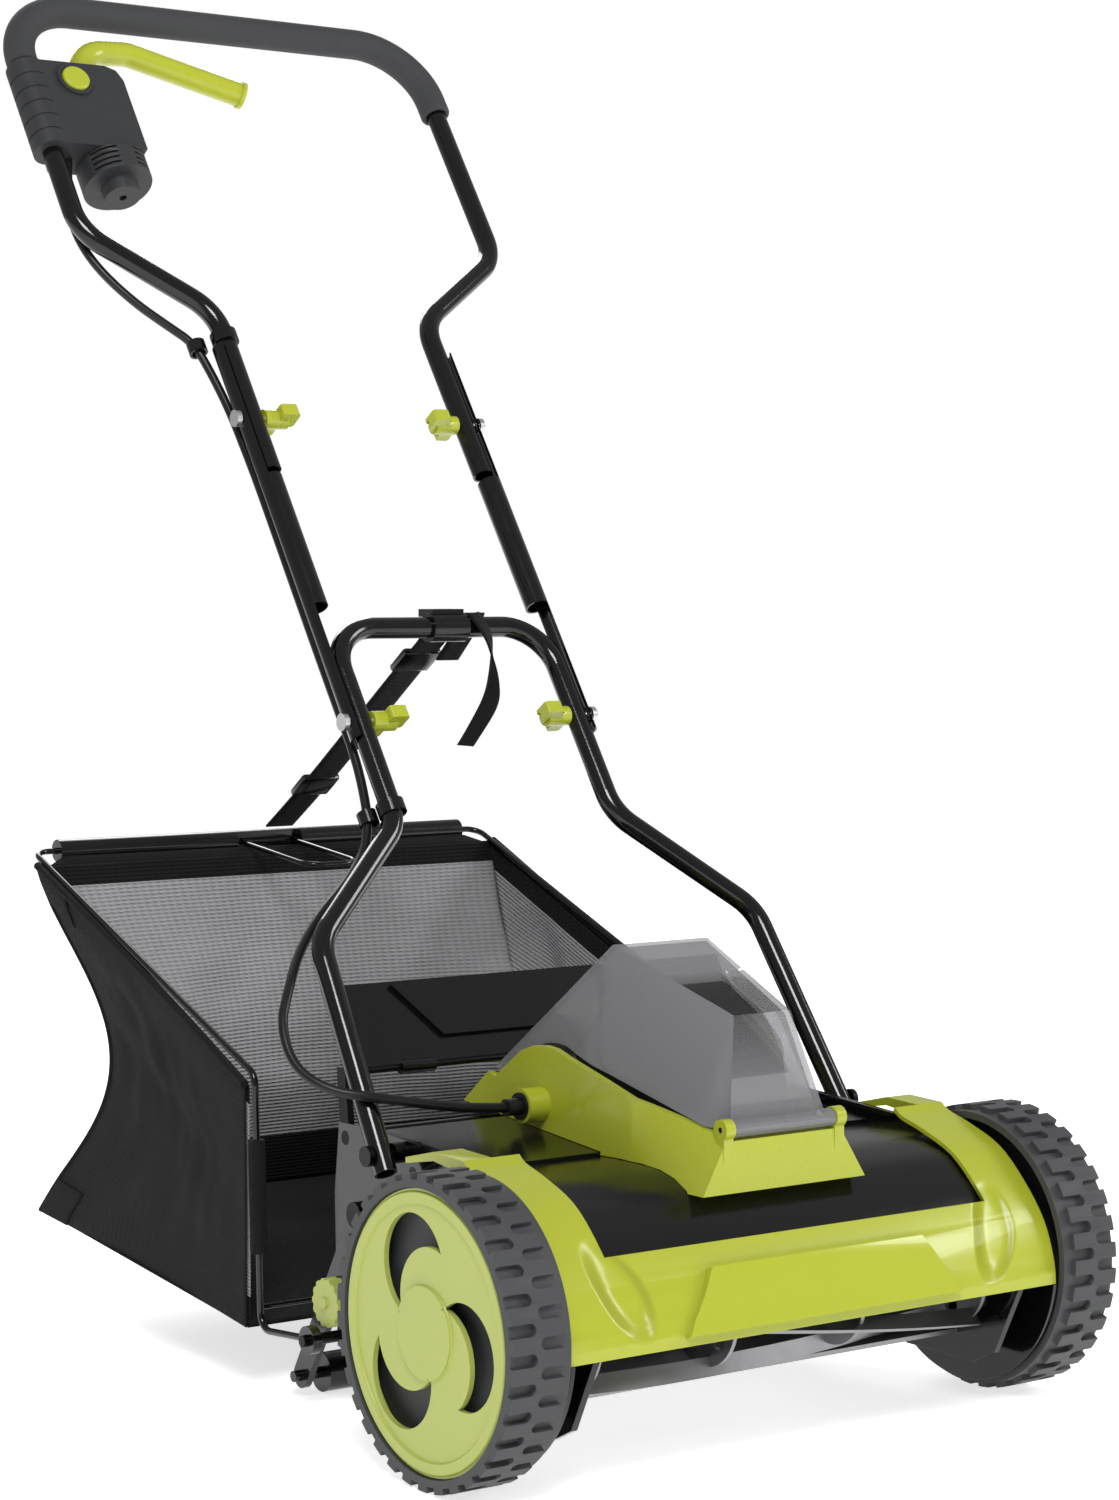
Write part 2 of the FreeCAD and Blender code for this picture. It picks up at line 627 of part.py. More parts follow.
def mid_tubes():
    """Straight tubes whose ends are pressed to half shells that lie outside the other tubes."""
    low, high = -15.0, upper_fold_s + 68
    start, end = on_handle(mid_x, low), on_handle(mid_x, high)
    pipe = rod(start, end, mid_tube_radius).cut(rod(start, end, mid_tube_radius - tube_wall))
    inside = lower_leg_x + tube_radius + 0.5
    for s0, s1 in ((low - 5, lower_crossbar_s + 18), (upper_tail_s - 6, high + 5)):
        pipe = pipe.cut(handle_prism([(inside - 40, s0), (inside, s0), (inside, s1), (inside - 40, s1)],
                                     -20, 20))
    for s in (0, upper_fold_s):
        pipe = pipe.cut(rod(on_handle(mid_x, s), on_handle(mid_x + 20, s), bolt_radius + 0.02))
    keep("right_mid_tube", pipe)
    keep("left_mid_tube", pipe.mirror(Vector(0, 0, 0), X_AXIS))


def upper_handle():
    right = [on_handle(lower_leg_x, upper_tail_s), on_handle(lower_leg_x, 374),
             on_handle(upper_loop_x, 446), on_handle(upper_loop_x, upper_top_s)]
    left = [Vector(-p.x, p.y, p.z) for p in right]
    bends = [upper_side_bend] * 2 + [upper_corner_bend] * 2 + [upper_side_bend] * 2
    solid = tube(right + left[::-1], tube_radius, bends, tube_wall)
    for side in (1, -1):
        a, b = on_handle(side * (lower_leg_x - 20), upper_fold_s), on_handle(side * (lower_leg_x + 20),
                                                                             upper_fold_s)
        solid = solid.cut(rod(a, b, bolt_radius + 0.02))
    keep("upper_handle", solid)
    grip = [on_handle(upper_loop_x, grip_right_s), on_handle(upper_loop_x, upper_top_s),
            on_handle(-upper_loop_x, upper_top_s), on_handle(-upper_loop_x, grip_left_s)]
    outer, inner = tube(grip, grip_radius, upper_corner_bend), tube(grip, tube_radius, upper_corner_bend)
    keep("foam_grip", outer.cut(inner))


def fold_bolts():
    """Bolts through both folds, with a spacer between the tubes and a domed head outside."""
    for name, s in (("lower", 0.0), ("upper", upper_fold_s)):
        p = on_handle(0, s)
        outside = mid_x + mid_tube_radius
        bolt = x_rod(68, outside + 1, p.y, p.z, bolt_radius)
        head = x_rod(outside + 0.05, outside + 4, p.y, p.z, 6.5)
        bore = rod(on_handle(mid_x, s - 20), on_handle(mid_x, s + 20), mid_tube_radius - tube_wall - 0.1)
        spacer = x_rod(lower_leg_x + tube_radius + 0.1, outside, p.y, p.z, 6).common(bore)
        keep(name + "_fold_bolts", both_sides(bolt.fuse([head, spacer])))
        nut = wing_nut(p)
        keep("right_" + name + "_wing_nut", nut)
        keep("left_" + name + "_wing_nut", nut.mirror(Vector(0, 0, 0), X_AXIS))


def wing_nut(p):
    """Two-winged plastic nut: the wing near the tube points down, the one further in points up."""
    face = lower_leg_x - tube_radius - 0.6
    hub = x_rod(face - 20, face, p.y, p.z, 7.5)
    s = (p - on_handle(0, 0)).dot(along)
    near = wing_plate(face - 13, face - 1, s, -wing_reach, 2)
    far = wing_plate(face - 26, face - 11, s, -2, wing_reach)
    bore = x_rod(face - 30, face + 5, p.y, p.z, bolt_radius + running_gap)
    return hub.fuse([near, far]).cut(bore)


def wing_plate(x0, x1, s, off0, off1):
    """Flat wing across the handle's plane, with rounded corners."""
    plate = handle_prism([(x0, s - wing_half), (x1, s - wing_half), (x1, s + wing_half),
                          (x0, s + wing_half)],
                         off0, off1)
    return plate.makeFillet(wing_round, [e for e in plate.Edges if abs(e.tangentAt(0).dot(along)) > 0.9])


# ---- Switch on the left upper tube ----
pin_x, pin_s = -144.0, 598.0
button_x, button_s = -160.0, 589.0
drum_x, drum_off, drum_radius, drum_length = -138.0, -10.0, 28.0, 22.0
nose_off, nose_radius, nose_length = -8.0, 15.0, 12.0
lever_off = -4.0


def switch():
    """Housing on the left tube: a ribbed sleeve, a flat-faced body, and a drum with a nose below."""
    s0, s1 = switch_low_s, switch_high_s
    sleeve = rod(on_handle(-upper_loop_x, s0), on_handle(-upper_loop_x, s1), 15)
    grooves = []
    for i in range(5):
        s = s0 + 12 + 14 * i
        grooves.append(rod(on_handle(-upper_loop_x, s), on_handle(-upper_loop_x, s + 1.6), 17).cut(
            rod(on_handle(-upper_loop_x, s - 1), on_handle(-upper_loop_x, s + 3), 14.2)))
    body = handle_prism([(-upper_loop_x + 6, s0), (-upper_loop_x + 6, s1), (-switch_inner_x - 13, s1),
                         (-switch_inner_x - 4, s1 - 4), (-switch_inner_x, s1 - 14), (-switch_inner_x, s0)],
                        switch_back, switch_front)
    sleeve = sleeve.cut(Part.makeCompound(grooves))
    hold = rod(on_handle(-upper_loop_x, s0 - 1), on_handle(-upper_loop_x, s1 + 1), tube_radius)
    lever_back, lever_front = lever_off - lever_radius - 0.6, lever_off + lever_radius + 0.6
    well = rod(on_handle(button_x, button_s, lever_front + 1.6), on_handle(button_x, button_s, 25),
               button_radius + 0.5)
    ring = rod(on_handle(button_x, button_s, switch_front - 1), on_handle(button_x, button_s,
                                                                          switch_front + 2.5),
               button_radius + 3.5)
    slot = handle_prism([(pin_x - 22, pin_s - 13), (pin_x - 22, s1 + 20), (-switch_inner_x + 9, s1 + 20),
                         (-switch_inner_x + 9, pin_s - 13)], lever_back, lever_front)
    pin = rod(on_handle(pin_x, pin_s, switch_back + 1), on_handle(pin_x, pin_s, lever_front + 1),
              lever_pin_radius)
    keep("switch_housing", sleeve.fuse([body, ring]).cut(hold).cut(well).cut(slot).fuse(pin))
    low = s0 - drum_length
    drum = rod(on_handle(drum_x, low, drum_off), on_handle(drum_x, s0 - 0.3, drum_off), drum_radius)
    nose = rod(on_handle(drum_x, low - nose_length, nose_off), on_handle(drum_x, low + 1, nose_off),
               nose_radius)
    hole = rod(on_handle(drum_x, low - nose_length - 1, nose_off), on_handle(drum_x, low - nose_length + 8,
               nose_off), 3)
    slots = [rod(on_handle(drum_x, low + 3.5 + 5 * i, drum_off), on_handle(drum_x, low + 5.5 + 5 * i,
                                                                           drum_off),
                 drum_radius + 4).cut(rod(on_handle(drum_x, low + 5 * i, drum_off),
                                          on_handle(drum_x, low + 9 + 5 * i, drum_off), drum_radius - 3))
             for i in range(4)]
    front_only = handle_prism([(drum_x - 40, low), (drum_x - 40, s0), (drum_x + 40, s0),
                               (drum_x + 40, low)], 2, 40)
    gap = handle_prism([(drum_x - 7, low), (drum_x - 7, s0), (drum_x + 7, s0), (drum_x + 7, low)], 0, 60)
    louvres = Part.makeCompound(slots).common(front_only).cut(gap)
    keep("switch_base", drum.fuse(nose).cut(hole).cut(louvres).cut(
        rod(on_handle(-upper_loop_x, s0 - 60), on_handle(-upper_loop_x, s1), tube_radius + 16)))
    keep("lock_button", rod(on_handle(button_x, button_s, lever_front + 2 + button_travel),
                            on_handle(button_x, button_s, switch_front + 5), button_radius))


def bail_lever():
    """Tubular green lever that arches out of the switch and ends in a small flange."""
    points = [on_handle(x, s, lever_off) for x, s in ((pin_x, pin_s), (-134, 636), (-92, 639), (3, 607))]
    arm = tube(points, lever_radius, 26)
    toward = (points[-1] - points[-2]).normalize()
    flange = rod(points[-1], points[-1] + toward * 3, lever_radius + 1.5)
    eye = rod(on_handle(pin_x, pin_s, lever_off - lever_radius),
              on_handle(pin_x, pin_s, lever_off + lever_radius),
              11)
    lever = arm.fuse([flange, eye])
    return lever.cut(rod(on_handle(pin_x, pin_s, -40), on_handle(pin_x, pin_s, 20),
                         lever_pin_radius + running_gap))


# ---- Power cable: its route points, from the switch down to the battery box ----
cable_upper_route = [on_handle(-176, switch_low_s, -8), on_handle(-182, 502, -10),
                     on_handle(-187, 476, -13.2),
                     on_handle(-187, 449, -13.8), on_handle(-178, 421, -13.8), on_handle(-157, 391, -13.8),
                     on_handle(-134, 369, -13.6), on_handle(-116, 352, -13), on_handle(-109, 322, -14),
                     on_handle(-104, 290, -15), on_handle(-102.5, 256, -15), on_handle(-102, 232, -14.5)]
cable_mid_route = [on_handle(-102, 231.4, -14.5), on_handle(-102.3, 196, -14.2), on_handle(-102, 150, -14.4),
                   on_handle(-102.3, 100, -14.2), on_handle(-102, 55, -14.4), on_handle(-101.6, 16, -14.6),
                   on_handle(-101, -17.4, -15)]
cable_lower_route = [on_handle(-101, -18.4, -15), on_handle(-104, -46, -14.5), on_handle(-110, -74, -13),
                     on_handle(-121, -100, -12.8), on_handle(-147, -126, -12.8), on_handle(-178, -150,
                                                                                           -13.4),
                     on_handle(-203, -176, -14), on_handle(-222, -206, -10), Vector(-236, 198, 272),
                     Vector(-238, 180, 248), Vector(-226, 157, 233.5), Vector(-204, 141, 228),
                     Vector(-165, 134.5, 220), Vector(-125, 133.5, 213), Vector(-98, 134, 211)]


def cables():
    for name, route in (("cable_upper", cable_upper_route), ("cable_mid", cable_mid_route),
                        ("cable_lower", cable_lower_route)):
        wire = rounded_route(route)
        keep(name, sweep_round(wire, route[0], route[1] - route[0], cable_radius))
    start = Vector(-98, cable_exit_y, cable_exit_z)
    boss_face = -tub_low_half - 14
    gland = rod(start, Vector(-66, cable_exit_y, cable_exit_z), cable_radius + 2.5)
    keep("cable_gland", gland.fuse(x_rod(boss_face - 2, boss_face, cable_exit_y, cable_exit_z, 9.5)))
    keep("upper_cable_clip", clip(-lower_leg_x, upper_clip_s, on_handle(-115, upper_clip_s, -13)))
    keep("lower_cable_clip", clip(-lower_leg_x, lower_clip_s, on_handle(-110, lower_clip_s, -13)))


clip_half, upper_clip_s, lower_clip_s = 5.0, 348.0, -74.0


def clip(x, s, cable):
    """Band round the tube with a smaller loop round the cable behind it."""
    half = clip_half
    a, b = on_handle(x, s - half), on_handle(x, s + half)
    band = rod(a, b, tube_radius + 2.5)
    loop = rod(cable - along * half, cable + along * half, cable_radius + 3.8)
    hole = rod(cable - along * (half + 4), cable + along * (half + 4), cable_radius + 2)
    return band.fuse(loop).cut(rod(a - along * 4, b + along * 4, tube_radius)).cut(hole)


# ---- Height roller ----
shaft_end = 6.0


def height_roller():
    x0 = plate_inner + plate_wall + 1.0
    x1 = x0 + arm_wall
    aim = Vector(0, roller_y - arm_pivot_y, roller_radius - arm_pivot_z).normalize()
    across = Vector(0, -aim.z, aim.y)
    top, low = Vector(x0, arm_pivot_y, arm_pivot_z), Vector(x0, roller_y, roller_radius)
    corners = [top + across * arm_half_width, low + across * arm_half_width,
               low - across * arm_half_width, top - across * arm_half_width]
    bar = Part.Face(Part.makePolygon(corners + corners[:1])).extrude(Vector(arm_wall, 0, 0))
    bar = bar.fuse([x_rod(x0, x1, top.y, top.z, arm_half_width), x_rod(x0, x1, low.y, low.z,
                                                                       arm_half_width)])
    boss = x_rod(x0, x1, knob_y, knob_z, arm_half_width + 2)
    bar = bar.fuse(boss).cut(x_rod(0, 300, knob_y, knob_z, knob_pin_radius))
    bar = bar.cut(x_rod(0, 300, top.y, top.z, arm_pin_radius + running_gap))
    shaft = x_rod(-x1 - shaft_end, x1 + shaft_end, roller_y, roller_radius, 4)
    arms = both_sides(bar).Solids
    keep("roller_frame", arms[0].fuse([arms[1], shaft]))
    pin = x_rod(plate_inner - 3, x1, arm_pivot_y, arm_pivot_z, arm_pin_radius)
    head = x_rod(x1 + 0.5, x1 + 3.5, arm_pivot_y, arm_pivot_z, arm_pin_radius + 3)
    pivots = both_sides(pin.fuse([x_rod(x1, x1 + 1, arm_pivot_y, arm_pivot_z, arm_pin_radius), head]))
    keep("chassis_bolts", Part.makeCompound(pivots.Solids + leg_bolts().Solids))
    roller = x_ring(-roller_half, roller_half, roller_y, roller_radius, roller_radius, 4 + running_gap)
    keep("rear_roller", roller)
    knob = x_rod(x1 + 0.2, x1 + 11, knob_y, knob_z, knob_radius)
    scallops = [turned(x_rod(x1 - 1, x1 + 13, knob_y, knob_z + knob_radius + 1, 2.4),
                       i * 360 / knob_scallops,
                       knob_y, knob_z) for i in range(knob_scallops)]
    knob = knob.cut(Part.makeCompound(scallops))
    pin = x_rod(plate_inner - 8, x1 + 13, knob_y, knob_z, knob_pin_radius)
    nut = x_rod(plate_inner - 8, plate_inner - 2, knob_y, knob_z, 8)
    keep("height_knobs", both_sides(knob.fuse([pin, nut])))


# ---- Rear flap ----
def flap():
    """Sloping deflector with a raised trapezoid rib, hung on a rod."""
    tilt = math.radians(handle_slope)
    d = Vector(0, math.cos(tilt), math.sin(tilt))
    n = Vector(0, -math.sin(tilt), math.cos(tilt))
    base = Vector(0, flap_y, flap_z)

    def at(x, s, off):
        return base + d * s + n * off + Vector(x, 0, 0)

    def slab(points, off0, off1):
        face = Part.Face(Part.makePolygon([at(x, s, off0) for x, s in points + points[:1]]))
        return face.extrude(n * (off1 - off0))

    sheet = slab([(-flap_half, 2), (flap_half, 2), (flap_half, flap_length), (-flap_half, flap_length)],
                 -1.5, 1.5)
    low, high = 0.3 * flap_length, flap_length - 4
    rib = slab([(-rib_top, high), (-rib_low, low), (rib_low, low), (rib_top, high), (rib_top - 9, high),
                (rib_low - 4, low + 7), (4 - rib_low, low + 7), (9 - rib_top, high)], 1.4, 5)
    knuckles = [x_rod(x - 14, x + 14, flap_y, flap_z, 5) for x in (-120, 0, 120)]
    solid = sheet.fuse([rib] + knuckles).cut(x_rod(-300, 300, flap_y, flap_z, 2.5 + running_gap))
    keep("rear_flap", solid)


def flap_hanger():
    """Rod that the flap hangs on, between two posts that stand on the side plates."""
    post = x_prism([(flap_y - 10, 199.2), (flap_y + 1, 199.2), (flap_y + 5, flap_z + 4),
                    (flap_y - 5, flap_z + 4)],
                   plate_inner, plate_inner + plate_wall)
    hanger = x_rod(-plate_inner - plate_wall, plate_inner + plate_wall, flap_y, flap_z, 2.5)
    return hanger.fuse(both_sides(post).Solids)


# ---- Bag ----
bag_side = [(286, 43), (286, 219), (604, 352), (560, 240), (552, 180), (604, 78)]
bar_z = 360.0


def bag():
    wall = bag_wall
    outer = bag_half
    panel = x_prism(bag_side, outer - wall, outer)
    inner = outer - wall - 0.3
    rear = [(604, 84), (556, 181), (564, 239), (606, 349)]
    keep("bag_mesh_panel", x_prism(thick_outline(rear, -wall), -inner, inner))
    floor = [(288, 43), (604, 78)]
    floor = x_prism(thick_outline(floor, -wall), -inner, inner)
    keep("bag_cloth", Part.makeCompound(both_sides(panel).Solids + [floor]))
    x = inner - wire_radius - 1.0
    half_path = [Vector(x, hook_y + 8, hook_z), Vector(x, 274, 46), Vector(x, 281, 226),
                 Vector(x, 620, bar_z)]
    frame = tube([Vector(-p.x, p.y, p.z) for p in half_path] + half_path[::-1], wire_radius, 12)
    eye = x_ring(x - 4, x + 3, hook_y, hook_z, hook_radius + 6, hook_radius + 0.3)
    loop = tube([Vector(-24, 620, bar_z), Vector(-24, 512, bar_z - 12), Vector(24, 512, bar_z - 12),
                 Vector(24, 620, bar_z)], wire_radius - 0.5, 14)
    front = x_rod(-x, x, 274.6, 62, wire_radius - 0.5)
    keep("bag_frame", frame.fuse(both_sides(eye).Solids + [loop, front]))
    bar = x_ring(-190, 190, 620, bar_z, bar_radius, wire_radius)
    slot = box(-30, 30, 600, 620, bar_z - 8, bar_z + 8)
    keep("bag_bar", bar.cut(slot))


def strap():
    """Webbing from the bag's bar to a hook on the crossbar."""
    hook = on_handle(0, lower_crossbar_s)
    x = 8.0
    high = Vector(0, hook.y + 13, hook.z - 7)
    points = [(high.y, high.z), (470, 468), (606, 372)]
    web = strip(points, strap_width, strap_wall)
    web.translate(Vector(x, 0, 0))
    keep("strap", web)
    ring = x_ring(-16, 16, hook.y, hook.z, tube_radius + 3, tube_radius)
    tab = box(-14, 14, hook.y - 4, hook.y + 16, hook.z + 8, hook.z + 14)
    buckle = ring.fuse(tab).cut(x_rod(-40, 40, hook.y, hook.z, tube_radius))
    buckle.translate(Vector(x, 0, 0))
    keep("strap_buckle", buckle)


def main():
    os.makedirs("parts", exist_ok=True)
    wheels()
    side_plates()
    ties()
    reel()
    drive()
    bed_knife()
    deck()
    front_panel()
    battery()
    lower_handle()
    mid_tubes()
    upper_handle()
    fold_bolts()
    switch()
    keep("bail_lever", bail_lever())
    cables()
    height_roller()
    flap()
    bag()
    strap()
    print(len(made), "nodes")


main()
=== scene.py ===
"""Looks of a cordless reel mower with a grass bag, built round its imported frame.

Metres. +X is the side away from the switch, -Y the front, +Z up, and the wheels stand on z = 0.
"""

import json
import logging
import math
from dataclasses import dataclass
from enum import Enum
from typing import Callable, Sequence

import bmesh
import bpy
from mathutils import Matrix, Vector, noise

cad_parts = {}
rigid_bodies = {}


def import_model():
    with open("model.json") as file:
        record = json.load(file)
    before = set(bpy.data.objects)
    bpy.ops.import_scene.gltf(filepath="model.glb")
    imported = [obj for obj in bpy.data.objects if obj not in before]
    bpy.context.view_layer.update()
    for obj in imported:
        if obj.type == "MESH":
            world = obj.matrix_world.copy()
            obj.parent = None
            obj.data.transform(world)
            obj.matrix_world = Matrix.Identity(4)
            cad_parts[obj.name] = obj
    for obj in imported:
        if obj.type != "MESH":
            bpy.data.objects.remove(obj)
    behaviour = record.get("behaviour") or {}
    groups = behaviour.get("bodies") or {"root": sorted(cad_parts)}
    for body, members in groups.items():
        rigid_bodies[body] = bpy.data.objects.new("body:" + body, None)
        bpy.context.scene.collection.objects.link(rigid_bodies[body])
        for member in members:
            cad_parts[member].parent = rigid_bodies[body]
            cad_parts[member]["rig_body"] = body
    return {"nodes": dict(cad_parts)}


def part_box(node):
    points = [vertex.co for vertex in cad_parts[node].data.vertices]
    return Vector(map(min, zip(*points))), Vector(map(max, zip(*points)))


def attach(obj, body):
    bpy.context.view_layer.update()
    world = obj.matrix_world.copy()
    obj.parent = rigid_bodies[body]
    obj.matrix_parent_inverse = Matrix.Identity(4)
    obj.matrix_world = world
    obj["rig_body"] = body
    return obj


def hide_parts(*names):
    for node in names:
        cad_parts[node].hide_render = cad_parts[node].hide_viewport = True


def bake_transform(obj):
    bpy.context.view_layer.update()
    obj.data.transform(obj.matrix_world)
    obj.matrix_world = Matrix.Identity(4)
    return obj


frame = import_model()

log = logging.getLogger("reel_mower")


# ---- Places ----
AXLE_Y = (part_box("left_tyre")[0].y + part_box("left_tyre")[1].y) / 2
AXLE_UP = 100.5
SLOPE = math.radians(56.1)
FOLD_Y, FOLD_Z = 0.320, 0.470


# ---- Shared finish and mesh settings ----
FINE_GRAIN = 2500.0
CLOUD_SCALE = 9.0
MERGE_CAD = 1e-5
MERGE_NEW = 1e-6
CRISP_DEG = 30.0


def at(x: float, y: float, z: float) -> Vector:
    """Point given in millimetres from the axle line and the ground.

    Args:
        x: To the side.
        y: Behind the axle line.
        z: Above the ground.

    Returns:
        The point, in metres.
    """
    return Vector((x / 1000, y / 1000 + AXLE_Y, z / 1000))


def on_handle(x: float, s: float, off: float = 0.0) -> Vector:
    """Point near the handle's plane, given in millimetres.

    Args:
        x: To the side.
        s: Up the slope from the upper fold's line.
        off: Out of the plane, towards the front and up.

    Returns:
        The point, in metres.
    """
    y = FOLD_Y * 1000 + s * math.cos(SLOPE) - off * math.sin(SLOPE)
    z = FOLD_Z * 1000 + s * math.sin(SLOPE) + off * math.cos(SLOPE)
    return at(x, y, z)


# ---- Shader arithmetic ----
class Signal:
    """A value that varies over a surface. Arithmetic on it adds Math nodes."""

    def __init__(self, shader: "Shader", socket: bpy.types.NodeSocket) -> None:
        """Wraps one output socket.

        Args:
            shader: The material that it belongs to.
            socket: The output.
        """
        self.shader = shader
        self.socket = socket

    def math(self, operation: str, *others: "float | Signal") -> "Signal":
        """Adds one Math node that starts from this value.

        Args:
            operation: The Math node's operation.
            others: The node's further inputs.

        Returns:
            The node's result.
        """
        values = {0: self} | {i + 1: other for i, other in enumerate(others)}
        return self.shader.node("ShaderNodeMath", {"operation": operation}, values)

    def __add__(self, other: "float | Signal") -> "Signal":
        """Sum."""
        return self.math("ADD", other)

    def __sub__(self, other: "float | Signal") -> "Signal":
        """Difference."""
        return self.math("SUBTRACT", other)

    def __rsub__(self, other: float) -> "Signal":
        """Number less this value."""
        return self.shader.node("ShaderNodeMath", {"operation": "SUBTRACT"}, {0: other, 1: self})

    def __mul__(self, other: "float | Signal") -> "Signal":
        """Product."""
        return self.math("MULTIPLY", other)

    def __gt__(self, other: "float | Signal") -> "Signal":
        """One where this value is the larger."""
        return self.math("GREATER_THAN", other)

    __radd__ = __add__
    __rmul__ = __mul__


class Shader:
    """Node tree of one material."""

    def __init__(self, name: str) -> None:
        """Makes an empty material with a surface output."""
        self.material = bpy.data.materials.new(name)
        self.material.use_nodes = True
        self.tree = self.material.node_tree
        self.tree.nodes.clear()

    def node(self, kind: str, settings: dict | None = None, values: dict | None = None,
             output: int | str = 0) -> "Signal | None":
        """Adds a node, sets it up and feeds it.

        Args:
            kind: The node's type.
            settings: Its properties, set first.
            values: Numbers, colours or signals for its sockets.
            output: The output that is wanted.

        Returns:
            That output, or None from a node that has none.
        """
        made = self.tree.nodes.new(kind)
        for key, value in (settings or {}).items():
            setattr(made, key, value)
        for key, value in (values or {}).items():
            if isinstance(value, Signal):
                self.tree.links.new(value.socket, made.inputs[key])
            else:
                made.inputs[key].default_value = value
        return Signal(self, made.outputs[output]) if made.outputs else None

    def place(self, output: str = "Object") -> Signal:
        """Object or UV coordinates."""
        return self.node("ShaderNodeTexCoord", output=output)

    def noise(self, where: Signal, scale: float, detail: float = 2.0) -> Signal:
        """Soft cloudy noise.

        Args:
            where: The coordinates that it follows.
            scale: How fine it is.
            detail: How many finer layers it has.

        Returns:
            The noise, from 0 to 1.
        """
        return self.node("ShaderNodeTexNoise", {}, {"Vector": where, "Scale": scale, "Detail": detail}, "Fac")

    def mix(self, factor: Signal, first: Sequence[float], second: "Sequence[float] | Signal") -> Signal:
        """Mixes two colours.

        Args:
            factor: The second colour's share.
            first: The first colour.
            second: The second colour.

        Returns:
            The mixed colour.
        """
        values = {"Factor": factor, 6: first, 7: second}
        return self.node("ShaderNodeMix", {"data_type": "RGBA"}, values, 2)

    def bump(self, height: Signal, distance: float, strength: float = 1.0) -> Signal:
        """Normal from a height.

        Args:
            height: The height, as a share.
            distance: What a height of one stands for, in metres.
            strength: How much of it shows.

        Returns:
            The normal.
        """
        return self.node("ShaderNodeBump", {}, {"Height": height, "Distance": distance, "Strength": strength})

    def finish(self, values: dict) -> bpy.types.Material:
        """Joins a Principled surface to the output.

        Args:
            values: The surface's sockets by name.

        Returns:
            The material.
        """
        surface = self.node("ShaderNodeBsdfPrincipled", {}, values)
        self.node("ShaderNodeOutputMaterial", {}, {"Surface": surface})
        return self.material


def shade(colour: Sequence[float], factor: float) -> tuple[float, ...]:
    """Colour made lighter or darker.

    Args:
        colour: The colour.
        factor: What it is multiplied by.

    Returns:
        The new colour, with full alpha.
    """
    return tuple(min(1.0, c * factor) for c in colour[:3]) + (1.0,)


# ---- Finishes ----
@dataclass(frozen=True)
class Moulding:
    """Moulded plastic, foam or paint: slight clouding, fine grain and small scuffs."""

    name: str
    colour: tuple[float, float, float]
    roughness: float
    grain_scale: float = FINE_GRAIN
    grain_depth: float = 0.00004
    clouding: float = 0.06
    coat: float = 0.0
    metallic: float = 0.0
    alpha: float = 1.0
    gloss: float = 0.5
    scuff_scale: float = 70.0
    scuffing: float = 0.16

    def make(self) -> bpy.types.Material:
        """Builds the material."""
        s = Shader(self.name)
        where = s.place()
        clouds = s.noise(where, CLOUD_SCALE, 3.0)
        grain = s.noise(where, self.grain_scale, 1.0)
        scuffs = s.noise(where, self.scuff_scale, 4.0)
        colour = s.mix(clouds, shade(self.colour, 1 - self.clouding), shade(self.colour, 1 + self.clouding))
        rough = (scuffs - 0.5) * self.scuffing + self.roughness
        return s.finish({"Base Color": colour, "Roughness": rough, "Metallic": self.metallic,
                         "Coat Weight": self.coat, "Coat Roughness": 0.08, "Alpha": self.alpha,
                         "Specular IOR Level": self.gloss, "Normal": s.bump(grain, self.grain_depth)})


@dataclass(frozen=True)
class DimpledPanel:
    """Glossy moulded panel with a soft slanted dimple on each side of its raised field."""

    name: str
    colour: tuple[float, float, float]
    roughness: float
    centre: tuple[float, float] = (0.158, 0.128)
    lean: float = 0.35
    half: tuple[float, float] = (0.017, 0.028)
    depth: float = 0.007
    edge: float = 1.5
    clouding: float = 0.03

    def make(self) -> bpy.types.Material:
        """Builds the material."""
        s = Shader(self.name)
        where = s.node("ShaderNodeSeparateXYZ", {}, {0: s.place()})
        side = where.math("ABSOLUTE")
        up = Signal(s, where.socket.node.outputs[2])
        rise = up - self.centre[1]
        slant = side - self.centre[0] - rise * self.lean
        along = (rise * (1 / self.half[1])).math("POWER", 2.0)
        across = (slant * (1 / self.half[0])).math("POWER", 2.0)
        away = along + across
        bowl = s.node("ShaderNodeMapRange", {"interpolation_type": "SMOOTHERSTEP"},
                      {"Value": away, "From Min": 0.0, "From Max": self.edge})
        grain = s.noise(s.place(), FINE_GRAIN, 1.0)
        clouds = s.noise(s.place(), CLOUD_SCALE, 3.0)
        colour = s.mix(clouds, shade(self.colour, 1 - self.clouding), shade(self.colour, 1 + self.clouding))
        return s.finish({"Base Color": colour, "Roughness": grain * 0.05 + self.roughness,
                         "Coat Weight": 0.25, "Coat Roughness": 0.06, "Specular IOR Level": 0.4,
                         "Normal": s.bump(bowl + grain * 0.004, self.depth)})


@dataclass(frozen=True)
class Foam:
    """Closed-cell foam: matte, with tiny pits."""

    name: str
    colour: tuple[float, float, float]
    cell_scale: float = 700.0
    pit_depth: float = 0.00022

    def make(self) -> bpy.types.Material:
        """Builds the material."""
        s = Shader(self.name)
        where = s.place()
        cells = s.node("ShaderNodeTexVoronoi", {"feature": "F1"}, {"Vector": where, "Scale": self.cell_scale},
                       "Distance")
        clouds = s.noise(where, 14.0)
        colour = s.mix(clouds, shade(self.colour, 0.88), shade(self.colour, 1.15))
        return s.finish({"Base Color": colour, "Roughness": 0.86 - cells * 0.1,
                         "Normal": s.bump(cells, self.pit_depth)})


